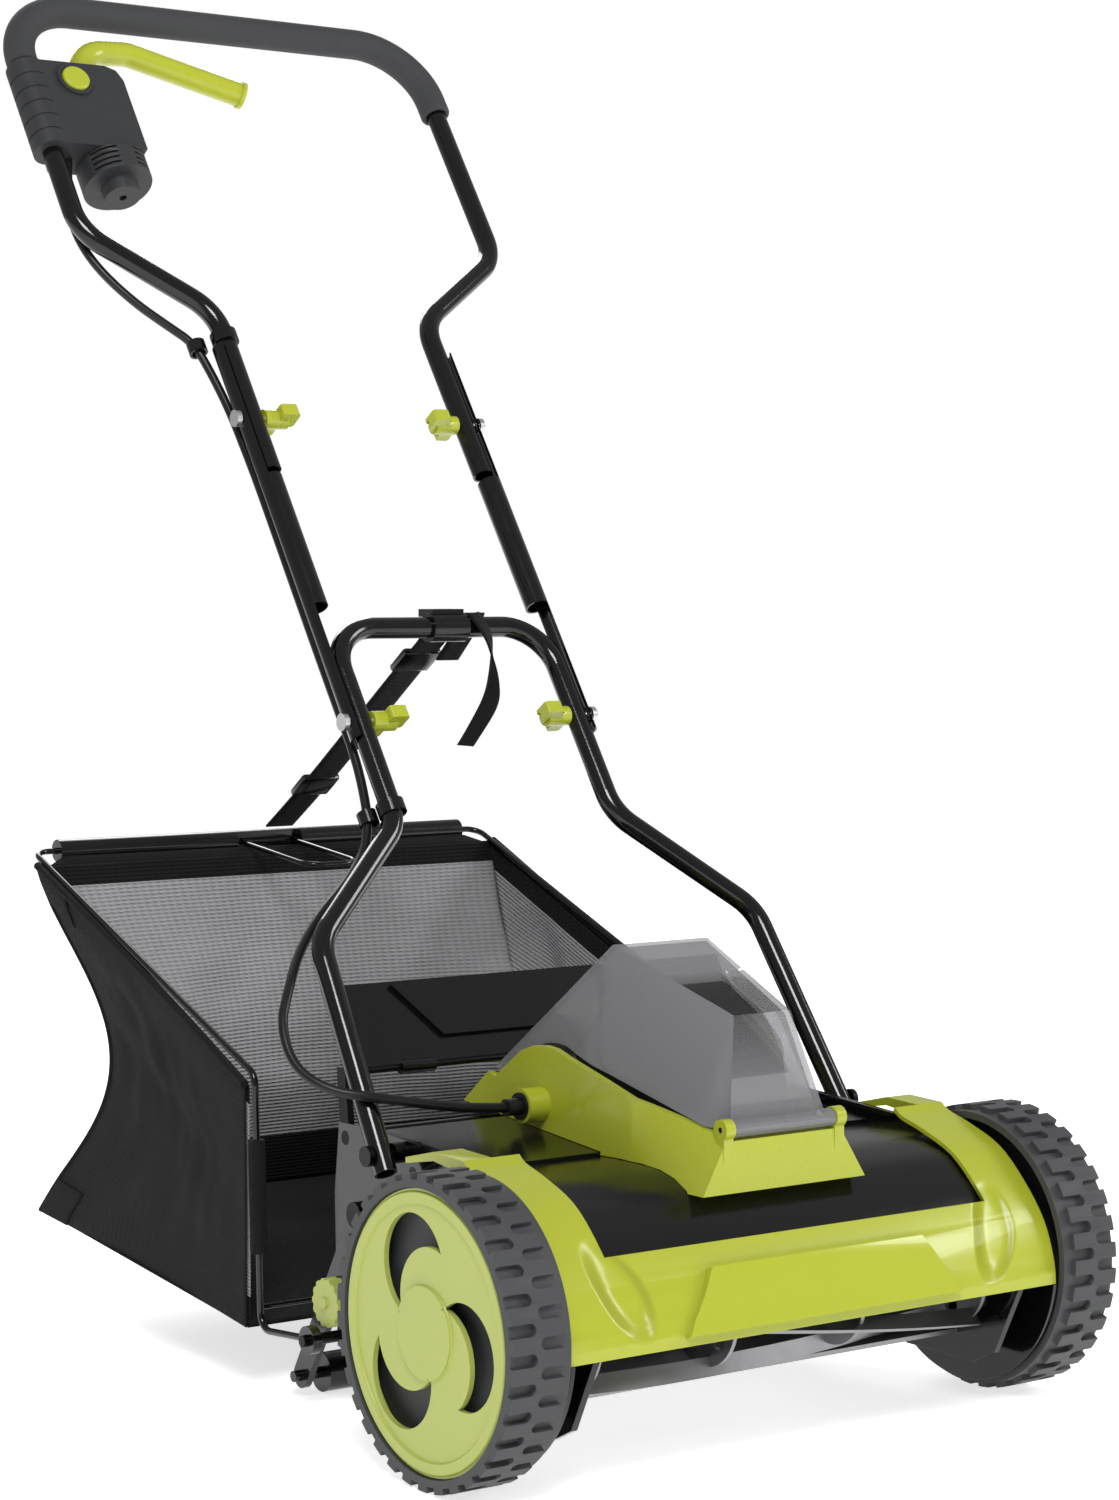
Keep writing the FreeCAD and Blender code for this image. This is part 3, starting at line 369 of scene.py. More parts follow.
@dataclass(frozen=True)
class Steel:
    """Turned or ground steel with fine marks round its axis."""

    name: str
    colour: tuple[float, float, float]
    roughness: float
    mark_scale: tuple[float, float, float] = (2200.0, 60.0, 60.0)
    mark_depth: float = 0.00002

    def make(self) -> bpy.types.Material:
        """Builds the material."""
        s = Shader(self.name)
        where = s.place()
        stretched = s.node("ShaderNodeMapping", {}, {"Vector": where, "Scale": self.mark_scale})
        marks = s.noise(stretched, 1.0, 3.0)
        spots = s.noise(where, 40.0, 4.0)
        colour = s.mix(spots, shade(self.colour, 0.8), shade(self.colour, 1.1))
        return s.finish({"Base Color": colour, "Metallic": 1.0, "Roughness": self.roughness + marks * 0.18,
                         "Normal": s.bump(marks, self.mark_depth)})


class Weave(Enum):
    """How a cloth is woven."""

    PLAIN = "plain"
    RIBBED_MESH = "ribbed mesh"
    WEBBING = "webbing"


@dataclass(frozen=True)
class Cloth:
    """Woven cloth whose threads follow the piece's own UV map, laid out in metres."""

    name: str
    colour: tuple[float, float, float]
    weave: Weave
    pitch: float
    band: tuple[float, float] = (0.0, 1000.0)
    band_colour: tuple[float, float, float] = (0.005, 0.005, 0.006)
    sheen: float = 0.04
    relief: float = 0.16

    def make(self) -> bpy.types.Material:
        """Builds the material."""
        s = Shader(self.name)
        where = s.place("UV")
        parts = s.node("ShaderNodeSeparateXYZ", {}, {0: where})
        u, v = parts, Signal(s, parts.socket.node.outputs[1])
        turns = 2 * math.pi / self.pitch
        warp = (u * turns).math("SINE")
        weft = (v * turns).math("SINE")
        height = {Weave.PLAIN: warp * weft,
                  Weave.RIBBED_MESH: weft * 0.7 + (u * (turns * 0.5) + weft * 1.5).math("SINE") * 0.3,
                  Weave.WEBBING: weft * 0.4 + warp * 0.6}[self.weave]
        fuzz = s.noise(s.place("Object"), 380.0, 3.0)
        patches = s.noise(s.place("Object"), 16.0, 3.0)
        depth = height * 0.5 + 0.5
        # Painted light and shade: the raised threads are coloured lighter and the weave's hollows darker, mixed with
        # random tone from the fuzz and patches.
        weave_shade_and_tone = depth * 0.55 + fuzz * 0.3 + patches * 0.25
        colour = s.mix(weave_shade_and_tone, shade(self.colour, 0.55), shade(self.colour, 1.5))
        low, high = self.band
        outside = 1 - (v > low) * (1 - (v > high))
        colour = s.node("ShaderNodeMix", {"data_type": "RGBA"},
                        {"Factor": outside, 6: colour, 7: shade(self.band_colour, 1)}, 2)
        normal = s.bump(height + fuzz * 0.5, self.pitch * self.relief)
        return s.finish({"Base Color": colour, "Roughness": 0.95 - depth * 0.15, "Normal": normal,
                         "Sheen Weight": self.sheen, "Sheen Roughness": 0.5,
                         "Specular IOR Level": 0.2})


@dataclass(frozen=True)
class Tread:
    """Hard grey tyre plastic with moulding lines and dust in the grooves."""

    name: str
    colour: tuple[float, float, float]
    grain_depth: float = 0.00008

    def make(self) -> bpy.types.Material:
        """Builds the material."""
        s = Shader(self.name)
        where = s.place()
        dust = s.noise(where, 30.0, 5.0)
        grain = s.noise(where, 1800.0, 2.0)
        colour = s.mix(dust, shade(self.colour, 0.8), shade(self.colour, 1.25))
        return s.finish({"Base Color": colour, "Roughness": 0.5 + dust * 0.25,
                         "Normal": s.bump(grain + dust * 0.5, self.grain_depth)})


Finish = Moulding | DimpledPanel | Foam | Steel | Cloth | Tread
LIME = (0.40, 0.445, 0.028)

PANEL = DimpledPanel("lime_panel", LIME, 0.26)
GREEN = Moulding("lime_moulding", LIME, 0.28, coat=0.2, clouding=0.03, gloss=0.4)
PALE_GREEN = Moulding("pale_lime_moulding", (0.40, 0.45, 0.10), 0.36, clouding=0.04, gloss=0.4)
GREY = Moulding("grained_grey", (0.030, 0.031, 0.033), 0.45, 1500.0, 0.0001, gloss=0.35)
GLOSS_BLACK = Moulding("gloss_black", (0.004, 0.004, 0.0045), 0.12, gloss=0.4, coat=0.1)
BLACK_TUBE = Moulding("black_enamel", (0.003, 0.003, 0.0035), 0.12, coat=0.25, grain_scale=900.0, gloss=0.35)
RUBBER = Moulding("black_rubber", (0.007, 0.007, 0.008), 0.35, 3000.0, 0.00003, gloss=0.35)
SMOKE = Moulding("smoked_clear", (0.27, 0.27, 0.285), 0.08, coat=0.6, alpha=0.55, grain_depth=0.0)
FOAM = Foam("grip_foam", (0.034, 0.035, 0.038))
TYRE = Tread("tyre_grey", (0.044, 0.045, 0.048))
BRIGHT = Steel("zinc_plate", (0.62, 0.62, 0.63), 0.28)
BLADE = Steel("blade_steel", (0.30, 0.30, 0.31), 0.32)
DARK_STEEL = Steel("blackened_steel", (0.02, 0.02, 0.021), 0.3)
BRONZE = Steel("bearing_bronze", (0.6, 0.43, 0.2), 0.35)
BAG_BLACK = Cloth("bag_black_cloth", (0.0032, 0.0032, 0.0036), Weave.PLAIN, 0.0022)
BAG_MESH = Cloth("bag_grey_mesh", (0.30, 0.30, 0.31), Weave.RIBBED_MESH, 0.0036, (0.050, 0.300))
LINER = Cloth("bag_liner_mesh", (0.30, 0.30, 0.31), Weave.RIBBED_MESH, 0.0036, (0.030, 0.222))
WEBBING = Cloth("black_webbing", (0.0035, 0.0035, 0.004), Weave.WEBBING, 0.0016)

CAD_FINISHES = {
    PANEL: ("front_panel",),
    GREEN: ("battery_box", "bail_lever", "lock_button", "left_lower_wing_nut",
            "right_lower_wing_nut", "left_upper_wing_nut", "right_upper_wing_nut"),
    PALE_GREEN: ("left_hub_cover", "right_hub_cover", "height_knobs"),
    GREY: ("switch_housing", "switch_base", "battery_pack"),
    GLOSS_BLACK: ("rear_flap", "battery_dock", "roller_frame", "deck_cover", "rear_plate", "drive_case",
                  "rear_roller", "bag_bar", "strap_buckle", "upper_cable_clip", "lower_cable_clip"),
    BLACK_TUBE: ("lower_handle", "left_mid_tube", "right_mid_tube", "upper_handle", "left_side_plate",
                 "right_side_plate", "bag_frame"),
    BRIGHT: ("axle_stubs", "reel_shaft", "motor_pulley", "lower_fold_bolts", "upper_fold_bolts", "motor",
             "reel_pulley"),
    DARK_STEEL: ("tie_rods", "chassis_bolts", "cover_hinge_pin"),
    BLADE: ("reel_blades", "reel_spiders", "bed_knife"),
    BRONZE: ("left_bush", "right_bush", "reel_bearings"),
    RUBBER: ("cable_upper", "cable_mid", "cable_lower", "cable_gland", "drive_belt"),
    SMOKE: ("battery_cover",),
    FOAM: ("foam_grip",),
    TYRE: ("left_tyre", "right_tyre"),
    BAG_BLACK: ("bag_cloth", "strap"),
    BAG_MESH: ("bag_mesh_panel",),
}
FINISH_OF = {node: finish for finish, nodes in CAD_FINISHES.items() for node in nodes}
made_materials: dict[Finish, bpy.types.Material] = {}


def dress(piece: bpy.types.Object, finish: Finish) -> None:
    """Gives a piece its finish, made once and shared.

    Args:
        piece: The object to dress.
        finish: One of the finishes above.
    """
    if finish not in made_materials:
        made_materials[finish] = finish.make()
    piece.data.materials.clear()
    piece.data.materials.append(made_materials[finish])


# ---- Mesh helpers ----
def add_piece(name: str, bm: bmesh.types.BMesh, finish: Finish, smooth_deg: float = 40.0) -> bpy.types.Object:
    """Turns a bmesh into a dressed object with its place in its mesh.

    Args:
        name: The piece's name.
        bm: Its mesh, which is freed.
        finish: Its finish.
        smooth_deg: Edges sharper than this stay crisp.

    Returns:
        The object.
    """
    mesh = bpy.data.meshes.new(name)
    bm.to_mesh(mesh)
    bm.free()
    mesh.polygons.foreach_set("use_smooth", [True] * len(mesh.polygons))
    mesh.set_sharp_from_angle(angle=math.radians(smooth_deg))
    piece = bpy.data.objects.new(name, mesh)
    bpy.context.scene.collection.objects.link(piece)
    dress(piece, finish)
    return piece


def round_profile(bm: bmesh.types.BMesh, profile: Sequence[tuple[float, float]], reach: float = 0.014) -> None:
    """Turns the flats of a piece that follows a side profile into one smooth curve.

    Args:
        bm: The piece's mesh, which is changed.
        profile: The profile's corners, y and z in millimetres.
        reach: How far from the profile a point still follows it, in metres.
    """
    corners = [at(0, y, z) for y, z in profile]
    cuts = 4
    for start, stop in zip(corners, corners[1:]):
        for k in range(cuts):
            bmesh.ops.bisect_plane(bm, geom=bm.verts[:] + bm.edges[:] + bm.faces[:], dist=MERGE_CAD,
                                   plane_co=start.lerp(stop, k / cuts), plane_no=(stop - start).normalized())
    slopes = [(after - before) / 2 for before, after in zip(corners, corners[2:])]
    slopes = [corners[1] - corners[0], *slopes, corners[-1] - corners[-2]]
    for vert in bm.verts:
        flat = Vector((0, vert.co.y, vert.co.z))
        nearest, bulge = reach, Vector()
        for i, (start, stop) in enumerate(zip(corners, corners[1:])):
            run = stop - start
            t = max(0.0, min(1.0, (flat - start).dot(run) / run.length_squared))
            gap = (flat - start - run * t).length
            if gap < nearest:
                nearest = gap
                curve = (start * (2 * t ** 3 - 3 * t ** 2 + 1) + slopes[i] * (t ** 3 - 2 * t ** 2 + t)
                         + stop * (3 * t ** 2 - 2 * t ** 3) + slopes[i + 1] * (t ** 3 - t ** 2))
                bulge = curve - start - run * t
        vert.co += bulge


def soften(node: str, width: float, finish: Finish, segments: int = 2,
           profile: Sequence[tuple[float, float]] = ()) -> bpy.types.Object:
    """Copies a CAD piece and rounds its edges, as a mould or a file leaves them.

    Args:
        node: The CAD node that the copy stands for.
        width: The rounding, in metres.
        finish: The copy's finish.
        segments: How finely the rounding is divided.
        profile: Corners of a side profile that the piece follows, to be made a smooth curve.

    Returns:
        The rounded copy, riding on the node's body.
    """
    source = frame["nodes"][node]
    bm = bmesh.new()
    bm.from_mesh(source.data)
    bmesh.ops.remove_doubles(bm, verts=bm.verts, dist=MERGE_CAD)
    bmesh.ops.dissolve_limit(bm, angle_limit=math.radians(0.6), verts=bm.verts, edges=bm.edges)
    if profile:
        round_profile(bm, profile)
    piece = add_piece(node + "_rounded", bm, finish, CRISP_DEG)
    rounding = piece.modifiers.new("rounding", "BEVEL")
    rounding.width = width
    rounding.segments = segments
    rounding.limit_method = "ANGLE"
    rounding.angle_limit = math.radians(CRISP_DEG)
    rounding.use_clamp_overlap = True
    rounding.harden_normals = True
    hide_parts(node)
    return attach(piece, source["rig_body"])


def smooth_line(points: Sequence[Vector], name: str) -> bpy.types.Object:
    """Curve object of one NURBS spline through a given route.

    Args:
        points: The route's control points.
        name: The curve's name.

    Returns:
        The curve object, linked to the scene.
    """
    curve = bpy.data.curves.new(name, "CURVE")
    curve.dimensions = "3D"
    spline = curve.splines.new("NURBS")
    spline.points.add(len(points) - 1)
    for target, point in zip(spline.points, points):
        target.co = (*point, 1.0)
    spline.order_u = 3
    spline.use_endpoint_u = True
    spline.resolution_u = 8
    made = bpy.data.objects.new(name, curve)
    bpy.context.scene.collection.objects.link(made)
    return made


def meshed(line: bpy.types.Object) -> bpy.types.Mesh:
    """Mesh of a curve object, which is removed.

    Args:
        line: The curve object.

    Returns:
        Its mesh.
    """
    bpy.context.view_layer.update()
    mesh = bpy.data.meshes.new_from_object(line.evaluated_get(bpy.context.evaluated_depsgraph_get()))
    bpy.data.objects.remove(line)
    return mesh


def rope(name: str, points: Sequence[Vector], radius: float, finish: Finish) -> bpy.types.Object:
    """Round cable or cord along a route, as a mesh.

    Args:
        name: The piece's name.
        points: The route.
        radius: Half the cable's thickness, in metres.
        finish: Its finish.

    Returns:
        The mesh object.
    """
    line = smooth_line(points, name + "_line")
    line.data.bevel_depth = radius
    line.data.bevel_resolution = 4
    line.data.use_fill_caps = True
    mesh = meshed(line)
    bm = bmesh.new()
    bm.from_mesh(mesh)
    bmesh.ops.remove_doubles(bm, verts=bm.verts, dist=MERGE_NEW)
    bpy.data.meshes.remove(mesh)
    return add_piece(name, bm, finish, 60)


def cloth_patch(name: str, cells: tuple[int, int], size: tuple[float, float],
                place: Callable[[float, float], Vector], finish: Finish, wall: float) -> bpy.types.Object:
    """Sheet of cloth laid out by a function of two shares, with a UV map in metres.

    Args:
        name: The piece's name.
        cells: Faces along each way.
        size: The sheet's real width and length, for the weave.
        place: Gives the point at shares u and v.
        finish: The sheet's finish.
        wall: The cloth's thickness.

    Returns:
        The sheet.
    """
    bm = bmesh.new()
    bmesh.ops.create_grid(bm, x_segments=cells[0], y_segments=cells[1], size=0.5)
    uv = bm.loops.layers.uv.verify()
    shares = {vert: (vert.co.x + 0.5, vert.co.y + 0.5) for vert in bm.verts}
    for face in bm.faces:
        for loop in face.loops:
            u, v = shares[loop.vert]
            loop[uv].uv = (u * size[0], v * size[1])
    for vert, (u, v) in shares.items():
        vert.co = place(u, v)
    piece = add_piece(name, bm, finish, 180)
    thick = piece.modifiers.new("wall", "SOLIDIFY")
    thick.thickness = wall
    thick.offset = 0
    return piece


def ribbon(name: str, centre: Sequence[Vector], across: Callable[[float], Vector], width: float, wall: float,
           finish: Finish) -> bpy.types.Object:
    """Flat webbing along a route, whose width direction may turn on the way.

    Args:
        name: The piece's name.
        centre: The route of its middle.
        across: Gives the unit width direction at a share of the route.
        width: The webbing's width.
        wall: Its thickness.
        finish: Its finish.

    Returns:
        The webbing.
    """
    mesh = meshed(smooth_line(centre, name + "_line"))
    points = [vert.co.copy() for vert in mesh.vertices]
    bpy.data.meshes.remove(mesh)
    length = sum((b - a).length for a, b in zip(points, points[1:]))

    def place(u: float, v: float) -> Vector:
        """Point of the webbing at shares u across and v along."""
        spot = v * (len(points) - 1)
        low = min(int(spot), len(points) - 2)
        middle = points[low].lerp(points[low + 1], spot - low)
        return middle + across(v) * (u - 0.5) * width

    return cloth_patch(name, (4, max(8, len(points) * 2)), (width, length), place, finish, wall)


# ---- Camera and lights ----
@dataclass
class Studio:
    """Camera, pale floor and soft lights."""

    eye: tuple[float, float, float] = (-1.3829, -1.7135, 0.5729)
    turn_deg: float = -35.767
    down_deg: float = 2.945
    focal_mm: float = 79.16
    film_mm: float = 36.0
    air: float = 0.36
    floor_glow: float = 0.68
    floor_half: float = 12.0
    floor_drop: float = 0.001
    aim: tuple[float, float, float] = (0.0, 0.0, 0.4)
    lights: tuple[tuple[str, tuple[float, float, float], float, float], ...] = (
        ("key", (-1.7, -2.4, 3.2), 95.0, 1.3),
        ("fill", (2.8, -1.6, 1.7), 40.0, 1.2),
        ("rim", (0.9, 3.0, 2.6), 70.0, 2.0),
    )

    def camera(self) -> None:
        """Makes the camera, placed from the axle line."""
        data = bpy.data.cameras.new("camera")
        data.sensor_width = self.film_mm
        data.lens = self.focal_mm
        data.clip_end = 50
        camera = bpy.data.objects.new("camera", data)
        x, y, z = self.eye
        camera.location = (x, y + AXLE_Y, z)
        camera.rotation_euler = (math.radians(90 - self.down_deg), 0, math.radians(self.turn_deg))
        bpy.context.scene.collection.objects.link(camera)
        bpy.context.scene.camera = camera

    def lamp(self, name: str, place: tuple[float, float, float], watts: float, size: float) -> None:
        """Adds one soft square light aimed at the machine.

        Args:
            name: The light's name.
            place: Where it hangs.
            watts: Its power.
            size: Its side.
        """
        data = bpy.data.lights.new(name, "AREA")
        data.energy = watts
        data.size = size
        light = bpy.data.objects.new(name, data)
        light.location = place
        beam = Vector(self.aim) - Vector(place)
        light.rotation_euler = beam.to_track_quat("-Z", "Y").to_euler()
        bpy.context.scene.collection.objects.link(light)

    def build(self) -> None:
        """Lays the floor and lights the scene."""
        bm = bmesh.new()
        bmesh.ops.create_grid(bm, x_segments=2, y_segments=2, size=self.floor_half)
        bmesh.ops.translate(bm, verts=bm.verts, vec=(0, 0, -self.floor_drop))
        mesh = bpy.data.meshes.new("floor")
        bm.to_mesh(mesh)
        bm.free()
        floor = bpy.data.objects.new("floor", mesh)
        s = Shader("pale_floor")
        mottle = s.noise(s.place(), 1.5)
        floor.data.materials.append(s.finish({
            "Base Color": s.mix(mottle, (0.86, 0.86, 0.86, 1), (0.9, 0.9, 0.9, 1)), "Roughness": 0.9,
            "Emission Color": (1, 1, 1, 1), "Emission Strength": self.floor_glow}))
        bpy.context.scene.collection.objects.link(floor)
        for name, place, watts, size in self.lights:
            self.lamp(name, place, watts, size)
        world = bpy.data.worlds.new("studio_air")
        world.use_nodes = True
        tree = world.node_tree
        path = tree.nodes.new("ShaderNodeLightPath")
        strength = tree.nodes.new("ShaderNodeMapRange")
        strength.inputs["To Min"].default_value = self.air
        strength.inputs["To Max"].default_value = 1.0
        tree.links.new(path.outputs["Is Camera Ray"], strength.inputs["Value"])
        tree.links.new(strength.outputs[0], tree.nodes["Background"].inputs["Strength"])
        tree.nodes["Background"].inputs["Color"].default_value = (1, 1, 1, 1)
        bpy.context.scene.world = world
        bpy.context.scene.view_settings.view_transform = "Standard"


# ---- Power cable ----
@dataclass
class PowerCable:
    """Cable from the switch down the handle to the battery box, in two lengths."""

    radius: float = 0.0035
    beside_tube: float = -102.0
    upper_fold: float = 272.0
    bend_reach: float = 50.0

    def build(self) -> None:
        """Makes both lengths."""
        upper = [on_handle(-176, 525, -8), on_handle(-182, 502, -10), on_handle(-187, 476, -13.2),
                 on_handle(-187, 449, -13.8), on_handle(-178, 421, -13.8), on_handle(-157, 391, -13.8),
                 on_handle(-134, 369, -13.6), on_handle(-116, 352, -13), on_handle(-109, 322, -14),
                 on_handle(-104, 290, -15), on_handle(-102.5, 256, -15), on_handle(-102, 220, -14.5),
                 on_handle(-102, 180, -14.4), on_handle(-102, 150, -14.4)]
        lower = [on_handle(-102, 150, -14.4), on_handle(-102, 115, -14.4), on_handle(-102, 70, -14.4),
                 on_handle(-101.6, 20, -14.6), on_handle(-101, -18, -15), on_handle(-104, -46, -14.5),
                 on_handle(-110, -74, -13), on_handle(-121, -100, -13.4), on_handle(-147, -126, -13.4),
                 on_handle(-178, -150, -14), on_handle(-204, -178, -14.5), on_handle(-223, -206, -10),
                 at(-238, 199, 272), at(-240, 180, 246), at(-228, 156, 232), at(-204, 140, 227.5),
                 at(-165, 134.5, 220), at(-125, 133.5, 213), at(-96, 134, 211)]
        top = rope("power_cable_upper", upper, self.radius, RUBBER)
        low = rope("power_cable_lower", lower, self.radius, RUBBER)
        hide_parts("cable_upper", "cable_mid")
        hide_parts("cable_lower")
        for length, above, below, fold in ((top, "grip_handle", "mid_handle", self.upper_fold),
                                           (low, "mid_handle", "chassis", 0.0)):
            on_handle(self.beside_tube, fold - self.bend_reach)
            on_handle(self.beside_tube, fold + self.bend_reach)
            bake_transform(length)


# ---- Grass bag ----
@dataclass(frozen=True)
class Cut:
    """Size that a sheet is cut to, in metres and square metres."""

    width: float
    length: float
    area: float


@dataclass
class GrassBag:
    """Cloth shell that hangs in a wire frame, open at the front and pinched at the back."""

    half: float = 215.0
    front: float = 286.0
    front_low: float = 46.0
    front_high: float = 219.0
    back: float = 603.0
    back_low: float = 80.0
    back_high: float = 351.0
    pinch: float = 72.0
    pinch_in: float = 26.0
    cloth: float = 0.0009
    liner_inset: float = 3.2
    sag: float = 9.0
    folds: float = 12.0
    creases: float = 2.6
    fine_creases: float = 3.5
    tuck: float = -10.0
    side_cut: Cut = Cut(0.33, 0.29, 0.061)
    liner_cut: Cut = Cut(0.33, 0.28, 0.060)
    corner_cut: Cut = Cut(0.055, 0.04, 0.0013)
    rear_cut: Cut = Cut(0.43, 0.31, 0.122)
    hem_cut: Cut = Cut(0.42, 0.011, 0.0044)
    floor_cut: Cut = Cut(0.43, 0.33, 0.138)

    def back_edge(self, v: float) -> tuple[float, float, float]:
        """Course of the rear corner seam.

        Args:
            v: Share of its height.

        Returns:
            Its inward pull, y and z, in millimetres.
        """
        z = self.back_low + (self.back_high - self.back_low) * v
        pull = math.sin(math.pi * v ** 0.9) ** 1.4
        return self.pinch_in * pull, self.back - self.pinch * pull, z

    def side_point(self, side: int, u: float, v: float, inset: float) -> Vector:
        """Point of a side panel.

        Args:
            side: -1 for the switch side, 1 for the other.
            u: Share from front to rear.
            v: Share from bottom to top.
            inset: How far inside the outer cloth, in millimetres.

        Returns:
            The point.
        """
        pull, y_back, z_back = self.back_edge(v)
        z_front = self.front_low + (self.front_high - self.front_low) * v
        y = self.front + (y_back - self.front) * u
        z = z_front + (z_back - z_front) * u
        sag = self.sag * math.sin(math.pi * u) * math.sin(math.pi * v)
        folds = noise.noise(Vector((u * 3.1, v * 5.0, side * 7.0))) * self.folds * math.sin(math.pi * v) * (0.3 + u)
        creases = math.sin((u * 7 + v * 5) * math.pi) * self.creases * math.sin(math.pi * v) * u
        creases += noise.noise(Vector((u * 11, v * 4, side * 3.0))) * self.fine_creases * math.sin(math.pi * v)
        x = self.half - inset - pull * u ** 3 - sag - (folds + creases + 3) * math.sin(math.pi * min(1, u * 1.05))
        return at(side * x, y, z)

    def rear_point(self, u: float, v: float) -> Vector:
        """Point of the rear mesh panel.

        Args:
            u: Share across.
            v: Share from bottom to top.

        Returns:
            The point.
        """
        pull, y, z = self.back_edge(v)
        x = (2 * u - 1) * (self.half - pull - 1.5)
        middle = math.sin(math.pi * u)
        y += middle * self.pinch * 0.55 * math.sin(math.pi * v) ** 1.4
        corner = (1 - middle) ** 2
        folds = noise.noise(Vector((u * 6, v * 3.0, 3.0))) * self.folds + noise.noise(Vector((u * 15, v * 9, 5.0))) * 5
        tuck = self.tuck * math.exp(-((v - 0.33) / 0.06) ** 2) * math.exp(-((u - 0.4) / 0.2) ** 2)
        y += (folds + tuck) * math.sin(math.pi * v) * (0.4 + corner)
        return at(x, y - 1.5, z)

    def floor_point(self, u: float, v: float) -> Vector:
        """Point of the floor cloth.

        Args:
            u: Share across.
            v: Share from front to rear.

        Returns:
            The point.
        """
        x = (2 * u - 1) * (self.half - 1.5)
        y = self.front + (self.back - self.front) * v
        z = self.front_low + (self.back_low - self.front_low) * v
        swell = math.sin(math.pi * u) * math.sin(math.pi * v)
        z += swell * (noise.noise(Vector((u * 4, v * 4, 9.0))) * 6 + 3)
        return at(x, y, z)

    def hem_point(self, u: float, v: float) -> Vector:
        """Point of the hem that joins the rear mesh to the bar, at share u across and v up."""
        x = (2 * u - 1) * (self.half - 7 - 18 * v)
        return at(x, self.back - 2 + 8.5 * v, self.back_high - 2 + 7 * v)

    def declare(self, piece: bpy.types.Object, cut: Cut) -> None:
        """Rides a sheet on the bag's body."""
        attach(piece, "bag")

    def side(self, side: int, word: str) -> None:
        """Makes one side's cloth, liner, corner pieces, tapes and sleeve.

        Args:
            side: -1 for the switch side, 1 for the other.
            word: The side's name.
        """
        outer = cloth_patch(f"bag_{word}_cloth", (60, 44), (0.35, 0.24),
                            lambda u, v: self.side_point(side, u, v, 0), BAG_BLACK, self.cloth)
        self.declare(outer, self.side_cut)
        liner = cloth_patch(f"bag_{word}_liner", (60, 44), (0.35, 0.24),
                            lambda u, v: self.side_point(side, u * 0.99, v * 0.99, self.liner_inset), LINER,
                            self.cloth)
        self.declare(liner, self.liner_cut)
        if side < 0:
            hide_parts("bag_cloth")
        for low, high, tag in ((0.0, 0.10, "low"), (0.90, 1.0, "high")):
            web = cloth_patch(f"bag_{word}_{tag}_corner", (8, 8), (0.05, 0.05),
                              lambda u, v: self.side_point(side, 0.86 + 0.14 * u, low + (high - low) * v, -1.2),
                              BAG_BLACK, self.cloth)
            self.declare(web, self.corner_cut)
        self.tape(f"bag_{word}_top_tape", [self.side_point(side, i / 8, 1, -0.5) for i in range(9)], 0.0032)
        self.tape(f"bag_{word}_rear_seam", [self.side_point(side, 1, i / 12, 0) for i in range(13)], 0.0022)
        wire = [at(side * 210.2, 276.2 + i * 0.7, 100 + i * 20) for i in range(5)]
        self.tape(f"bag_{word}_front_sleeve", wire, 0.0062)

    def build(self) -> None:
        """Makes the cloth panels of both sides, then the rear, hem and floor."""
        for side, word in ((-1, "left"), (1, "right")):
            self.side(side, word)
        rear = cloth_patch("bag_rear_mesh", (90, 60), (0.43, 0.32), self.rear_point, BAG_MESH, self.cloth)
        self.declare(rear, self.rear_cut)
        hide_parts("bag_mesh_panel")
        hem = cloth_patch("bag_top_hem", (40, 3), (0.40, 0.02), self.hem_point, BAG_BLACK, self.cloth)
        self.declare(hem, self.hem_cut)
        floor = cloth_patch("bag_floor_cloth", (60, 40), (0.43, 0.32), self.floor_point, BAG_BLACK, self.cloth)
        self.declare(floor, self.floor_cut)

    def tape(self, name: str, points: list[Vector], radius: float) -> None:
        """Sewn edge tape along a seam, or a sleeve along the wire."""
        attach(rope(name, points, radius, BAG_BLACK), "bag")


# ---- Wheels ----
@dataclass
class HubTrim:
    """Raised rim and centre ring moulded on each hub cover."""

    face: float = 252.4
    rings: tuple[tuple[float, float, float], ...] = ((80.5, 89.5, 1.7), (27.0, 30.5, 1.2))
    steps: int = 96

    def ring(self, side: int, inner: float, outer: float, height: float) -> bmesh.types.BMesh:
        """Spins one rounded ring about the axle.

        Args:
            side: -1 for the switch side, 1 for the other.
            inner: Inner radius in millimetres.
            outer: Outer radius in millimetres.
            height: How far it stands proud, in millimetres.

        Returns:
            The ring's mesh.
        """
        bm = bmesh.new()
        round_off = height * 0.45
        outline = [(inner, 0), (inner + round_off * 0.6, height - round_off), (inner + round_off * 1.6, height),
                   (outer - round_off * 1.6, height), (outer - round_off * 0.6, height - round_off), (outer, 0)]
        verts = [bm.verts.new(at(side * (self.face + up), 0, AXLE_UP + r)) for r, up in outline]
        edges = [bm.edges.new(pair) for pair in zip(verts, verts[1:] + verts[:1])]
        bmesh.ops.spin(bm, geom=verts + edges, cent=at(0, 0, AXLE_UP), axis=(1, 0, 0), angle=2 * math.pi,
                       steps=self.steps, use_merge=True, use_duplicate=False)
        bmesh.ops.remove_doubles(bm, verts=bm.verts, dist=MERGE_NEW)
        bmesh.ops.recalc_face_normals(bm, faces=bm.faces)
        return bm

    def build(self) -> None:
        """Makes the rings of both wheels."""
        for side, word in ((-1, "left"), (1, "right")):
            for number, (inner, outer, height) in enumerate(self.rings):
                piece = add_piece(f"{word}_hub_ring_{number}", self.ring(side, inner, outer, height), PALE_GREEN)
                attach(piece, f"{word}_wheel")


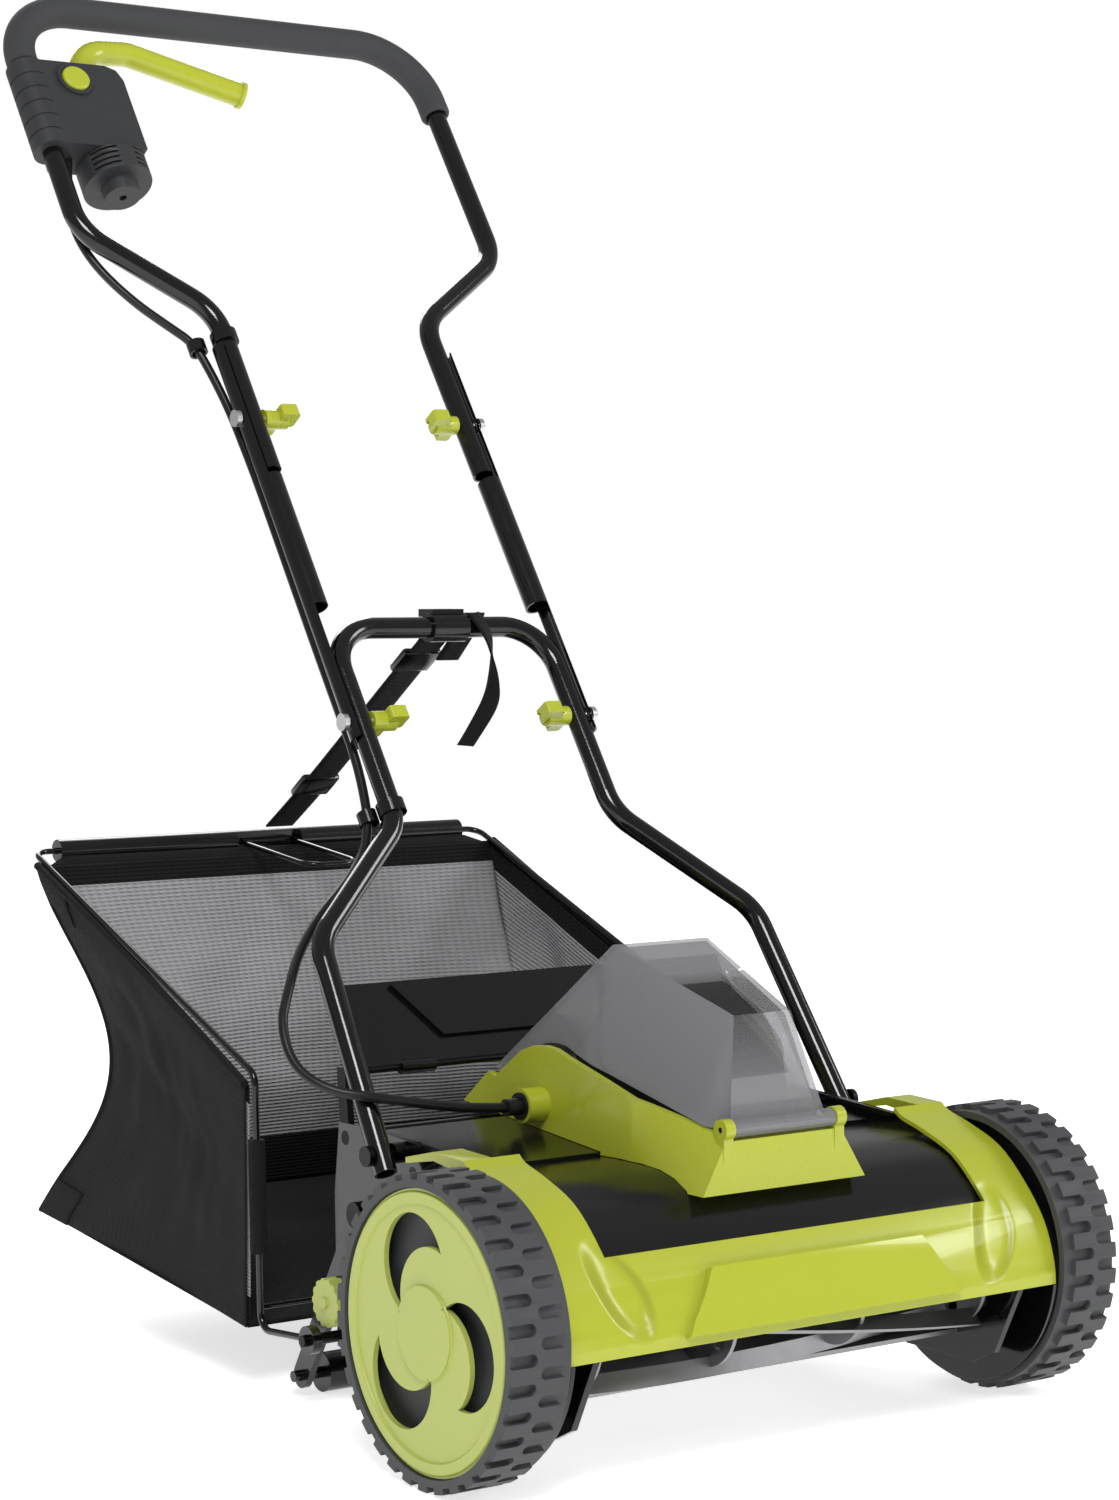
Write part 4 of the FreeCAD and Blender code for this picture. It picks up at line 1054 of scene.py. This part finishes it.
# ---- Strap ----
@dataclass
class Strap:
    """Webbing that holds the bag's bar to the crossbar, with its slides and loose tail."""

    width: float = 0.025
    wall: float = 0.0016
    return_width: float = 0.8 * 0.025
    tail_width: float = 0.013
    slide_size: tuple[float, float, float] = (0.034, 0.026, 0.006)
    slide_rounding: float = 0.0022
    slide_tilt_deg: float = -35.0
    bends_from: tuple[float, float, float] = (8, 400, 516)
    bends_to: tuple[float, float, float] = (8, 600, 380)

    def build(self) -> None:
        """Makes the two runs, the tail and the slides."""
        across = Vector((1, 0, 0))
        main = ribbon("strap_long_run", [at(8, 611, 372), at(8, 560, 404), at(8, 480, 460), at(8, 400, 516),
                                         at(10, 380, 531), at(10, 371, 545)], lambda v: across, self.width,
                      self.wall, WEBBING)
        back = ribbon("strap_return_run", [at(30, 396, 512), at(31, 384, 524), at(32, 372, 536),
                                           at(33, 364, 548)], lambda v: across, self.return_width, self.wall,
                      WEBBING)
        at(*self.bends_from)
        at(*self.bends_to)
        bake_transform(main)
        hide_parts("strap")
        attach(back, "chassis")

        def twisted(v: float) -> Vector:
            """Width direction of the tail, turning as it hangs."""
            turn = 0.4 + 2.4 * v
            return Vector((math.cos(turn), math.sin(turn) * 0.8, math.sin(turn) * 0.3)).normalized()

        tail = ribbon("strap_tail", [at(30, 360, 548), at(38, 352, 534), at(38, 346, 516), at(34, 338, 500),
                                     at(24, 326, 484), at(8, 320, 466), at(-6, 318, 450)], twisted,
                      self.tail_width, self.wall, WEBBING)
        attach(tail, "chassis")
        for name, spot in (("strap_slide_low", at(9, 556, 408.5)), ("strap_slide_high", at(9, 408, 512))):
            self.slide(name, spot)

    def slide(self, name: str, spot: Vector) -> None:
        """Adds one three-bar slide round the webbing.

        Args:
            name: The slide's name.
            spot: Its centre.
        """
        bm = bmesh.new()
        bmesh.ops.create_cube(bm, size=1)
        bmesh.ops.scale(bm, vec=self.slide_size, verts=bm.verts)
        bmesh.ops.bevel(bm, geom=bm.edges, offset=self.slide_rounding, segments=2, profile=0.5,
                        affect="EDGES", material=-1)
        tilt = Matrix.Rotation(math.radians(self.slide_tilt_deg), 3, "X")
        bmesh.ops.rotate(bm, verts=bm.verts, cent=(0, 0, 0), matrix=tilt)
        bmesh.ops.translate(bm, verts=bm.verts, vec=spot)
        piece = add_piece(name, bm, GLOSS_BLACK)
        at(*self.bends_from)
        at(*self.bends_to)
        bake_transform(piece)


# ---- Carried-over pieces ----
ROUNDED = {"front_panel": 0.0016, "battery_box": 0.0018, "battery_cover": 0.0012, "switch_housing": 0.0022,
           "switch_base": 0.0012, "left_hub_cover": 0.0016, "right_hub_cover": 0.0016, "height_knobs": 0.0007,
           "left_tyre": 0.0010, "right_tyre": 0.0010, "rear_flap": 0.0010, "battery_pack": 0.0020,
           "left_side_plate": 0.0008, "right_side_plate": 0.0008, "bag_bar": 0.0012, "strap_buckle": 0.0010,
           "roller_frame": 0.0010, "left_lower_wing_nut": 0.0008, "right_lower_wing_nut": 0.0008,
           "left_upper_wing_nut": 0.0008, "right_upper_wing_nut": 0.0008, "deck_cover": 0.0010,
           "left_mid_tube": 0.0004, "right_mid_tube": 0.0004, "lock_button": 0.0020, "foam_grip": 0.0030}

PROFILES = {
    "front_panel": [(-91, 90), (-89, 106), (-79, 132), (-59, 157), (-34, 178), (-3, 190), (18, 196), (26, 201)],
    "deck_cover": [(-65, 143.9), (-56.2, 154), (-45, 164), (-31, 174.5), (-15, 180.5), (0, 184), (18, 185.5),
                   (40, 185.8), (63, 185)],
}


def dress_frame() -> None:
    """Rounds the pieces that show, and dresses every CAD piece."""
    for finish, nodes in CAD_FINISHES.items():
        for node in nodes:
            dress(frame["nodes"][node], finish)
    for node, width in ROUNDED.items():
        piece = soften(node, width, FINISH_OF[node], profile=PROFILES.get(node, ()))
        node == "foam_grip"
        log.info("rounded %s", node)


def main() -> None:
    """Builds the scene in order."""
    logging.basicConfig(level=logging.INFO, format="%(message)s")
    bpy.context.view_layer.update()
    studio = Studio()
    studio.camera()
    PowerCable().build()
    log.info("power cable")
    dress_frame()
    GrassBag().build()
    log.info("grass bag")
    Strap().build()
    log.info("strap")
    HubTrim().build()
    log.info("hub rings")
    studio.build()
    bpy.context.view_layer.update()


if __name__ == "__main__":
    main()
